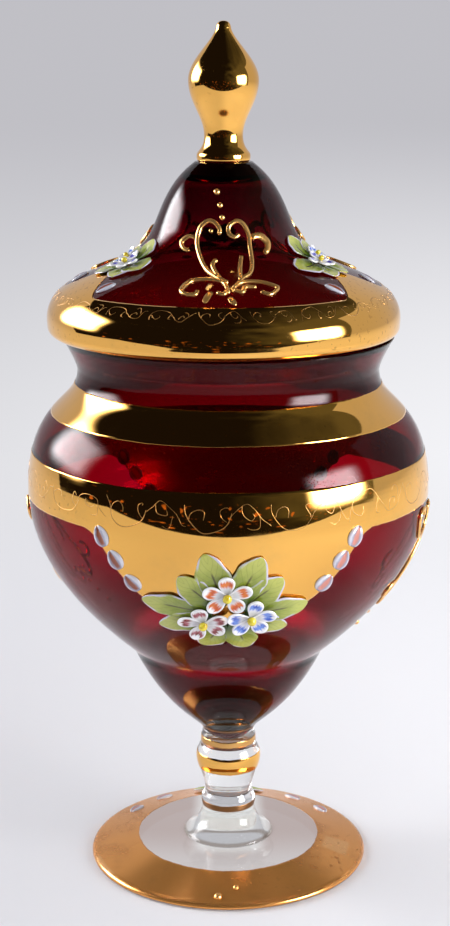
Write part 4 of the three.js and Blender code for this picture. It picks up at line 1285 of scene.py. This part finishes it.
def soft_lamp(name, azimuth, elevation, distance, width, height, radiance, shown):
    """A rectangular soft lamp that faces the middle of the dish. The lamp itself lights what is
    dull. Reflections show a cloth of the same size before it, with the brightness shown, which
    fades into what lies behind it at its edges."""
    lamp = bpy.data.lights.new(name, "AREA")
    lamp.shape, lamp.size, lamp.size_y = "RECTANGLE", width, height
    lamp.energy = radiance * math.pi * width * height
    material, tree, output = new_material(f"{name}_cloth")
    to_side, to_top = (math_node(tree, "ABSOLUTE", off) for off in parts_of(tree, object_place(tree))[:2])
    light = product(tree, ramp(tree, to_side, 0.5 * width, 0.2 * width),
                    ramp(tree, to_top, 0.5 * height, 0.2 * height))
    lit_cloth = shining(tree, (0.96, 0.97, 1.0, 1), shown)
    clear_edge = wire(tree, "ShaderNodeBsdfTransparent", {}, {"Color": (1, 1, 1, 1)}).outputs[0]
    faded = mixed_surface(tree, math_node(tree, "POWER", light, 2.0), clear_edge, lit_cloth)
    tree.links.new(faded, output.inputs["Surface"])
    x, y = width / 2, height / 2
    corners = [(-x, -y, 0), (x, -y, 0), (x, y, 0), (-x, y, 0)]
    cloth = flat_sheet(f"{name}_cloth", corners, [(0, 1, 2, 3)], material)
    lamp_object = bpy.data.objects.new(name, lamp)
    bpy.context.scene.collection.objects.link(lamp_object)
    a, e = math.radians(azimuth), math.radians(elevation)
    back = np.array((math.sin(a) * math.cos(e), -math.cos(a) * math.cos(e), math.sin(e)))
    for thing, away in ((lamp_object, distance + 0.01), (cloth, distance)):
        thing.location = np.array((0, 0, 0.16)) + away * back
        thing.rotation_euler = Vector((-back).tolist()).to_track_quat("-Z", "Y").to_euler()
        thing.visible_camera = False
    lamp_object.visible_glossy = lamp_object.visible_transmission = False
    cloth.visible_diffuse = cloth.visible_shadow = False


def world_light():
    """An even light from all sides, which shows as the grey paper behind the table."""
    world = bpy.data.worlds.new("pale_paper")
    world.use_nodes = True
    tree = world.node_tree
    tree.nodes.clear()
    seen, lit = (
        wire(tree, "ShaderNodeBackground", {}, {"Color": tone, "Strength": strength}).outputs[0]
        for tone, strength in ((SWEEP_FAR, 1.0), ((0.95, 0.96, 1.0, 1), 0.46))
    )
    output = wire(tree, "ShaderNodeOutputWorld")
    tree.links.new(mixed_surface(tree, background_rays(tree), lit, seen), output.inputs["Surface"])
    bpy.context.scene.world = world


def camera():
    """The photograph's view: from the front and a little above, through a long lens."""
    image_width, image_height, focal_pixels, sensor = 450, 926, 1775.0, 36.0
    pitch, back, high, axis_pixel = 13.67, 0.5708, 0.2767, 228.3
    lens = bpy.data.cameras.new("front_camera")
    lens.sensor_width = sensor
    lens.lens = focal_pixels / image_height * sensor
    lens.shift_x = -(axis_pixel - image_width / 2) / image_height
    view = bpy.data.objects.new("front_camera", lens)
    view.location = (0, -back, high)
    view.rotation_euler = (math.radians(90 - pitch), 0, 0)
    bpy.context.scene.collection.objects.link(view)
    bpy.context.scene.camera = view


table_top()
dark_room()
soft_lamp("left_soft_lamp", -107, 19, 1.0, 0.98, 0.76, 5.1, 20.0)
soft_lamp("right_soft_lamp", 62, 10, 1.0, 0.80, 0.62, 6.0, 34.0)
world_light()
camera()
bpy.context.scene.view_settings.view_transform = "Standard"
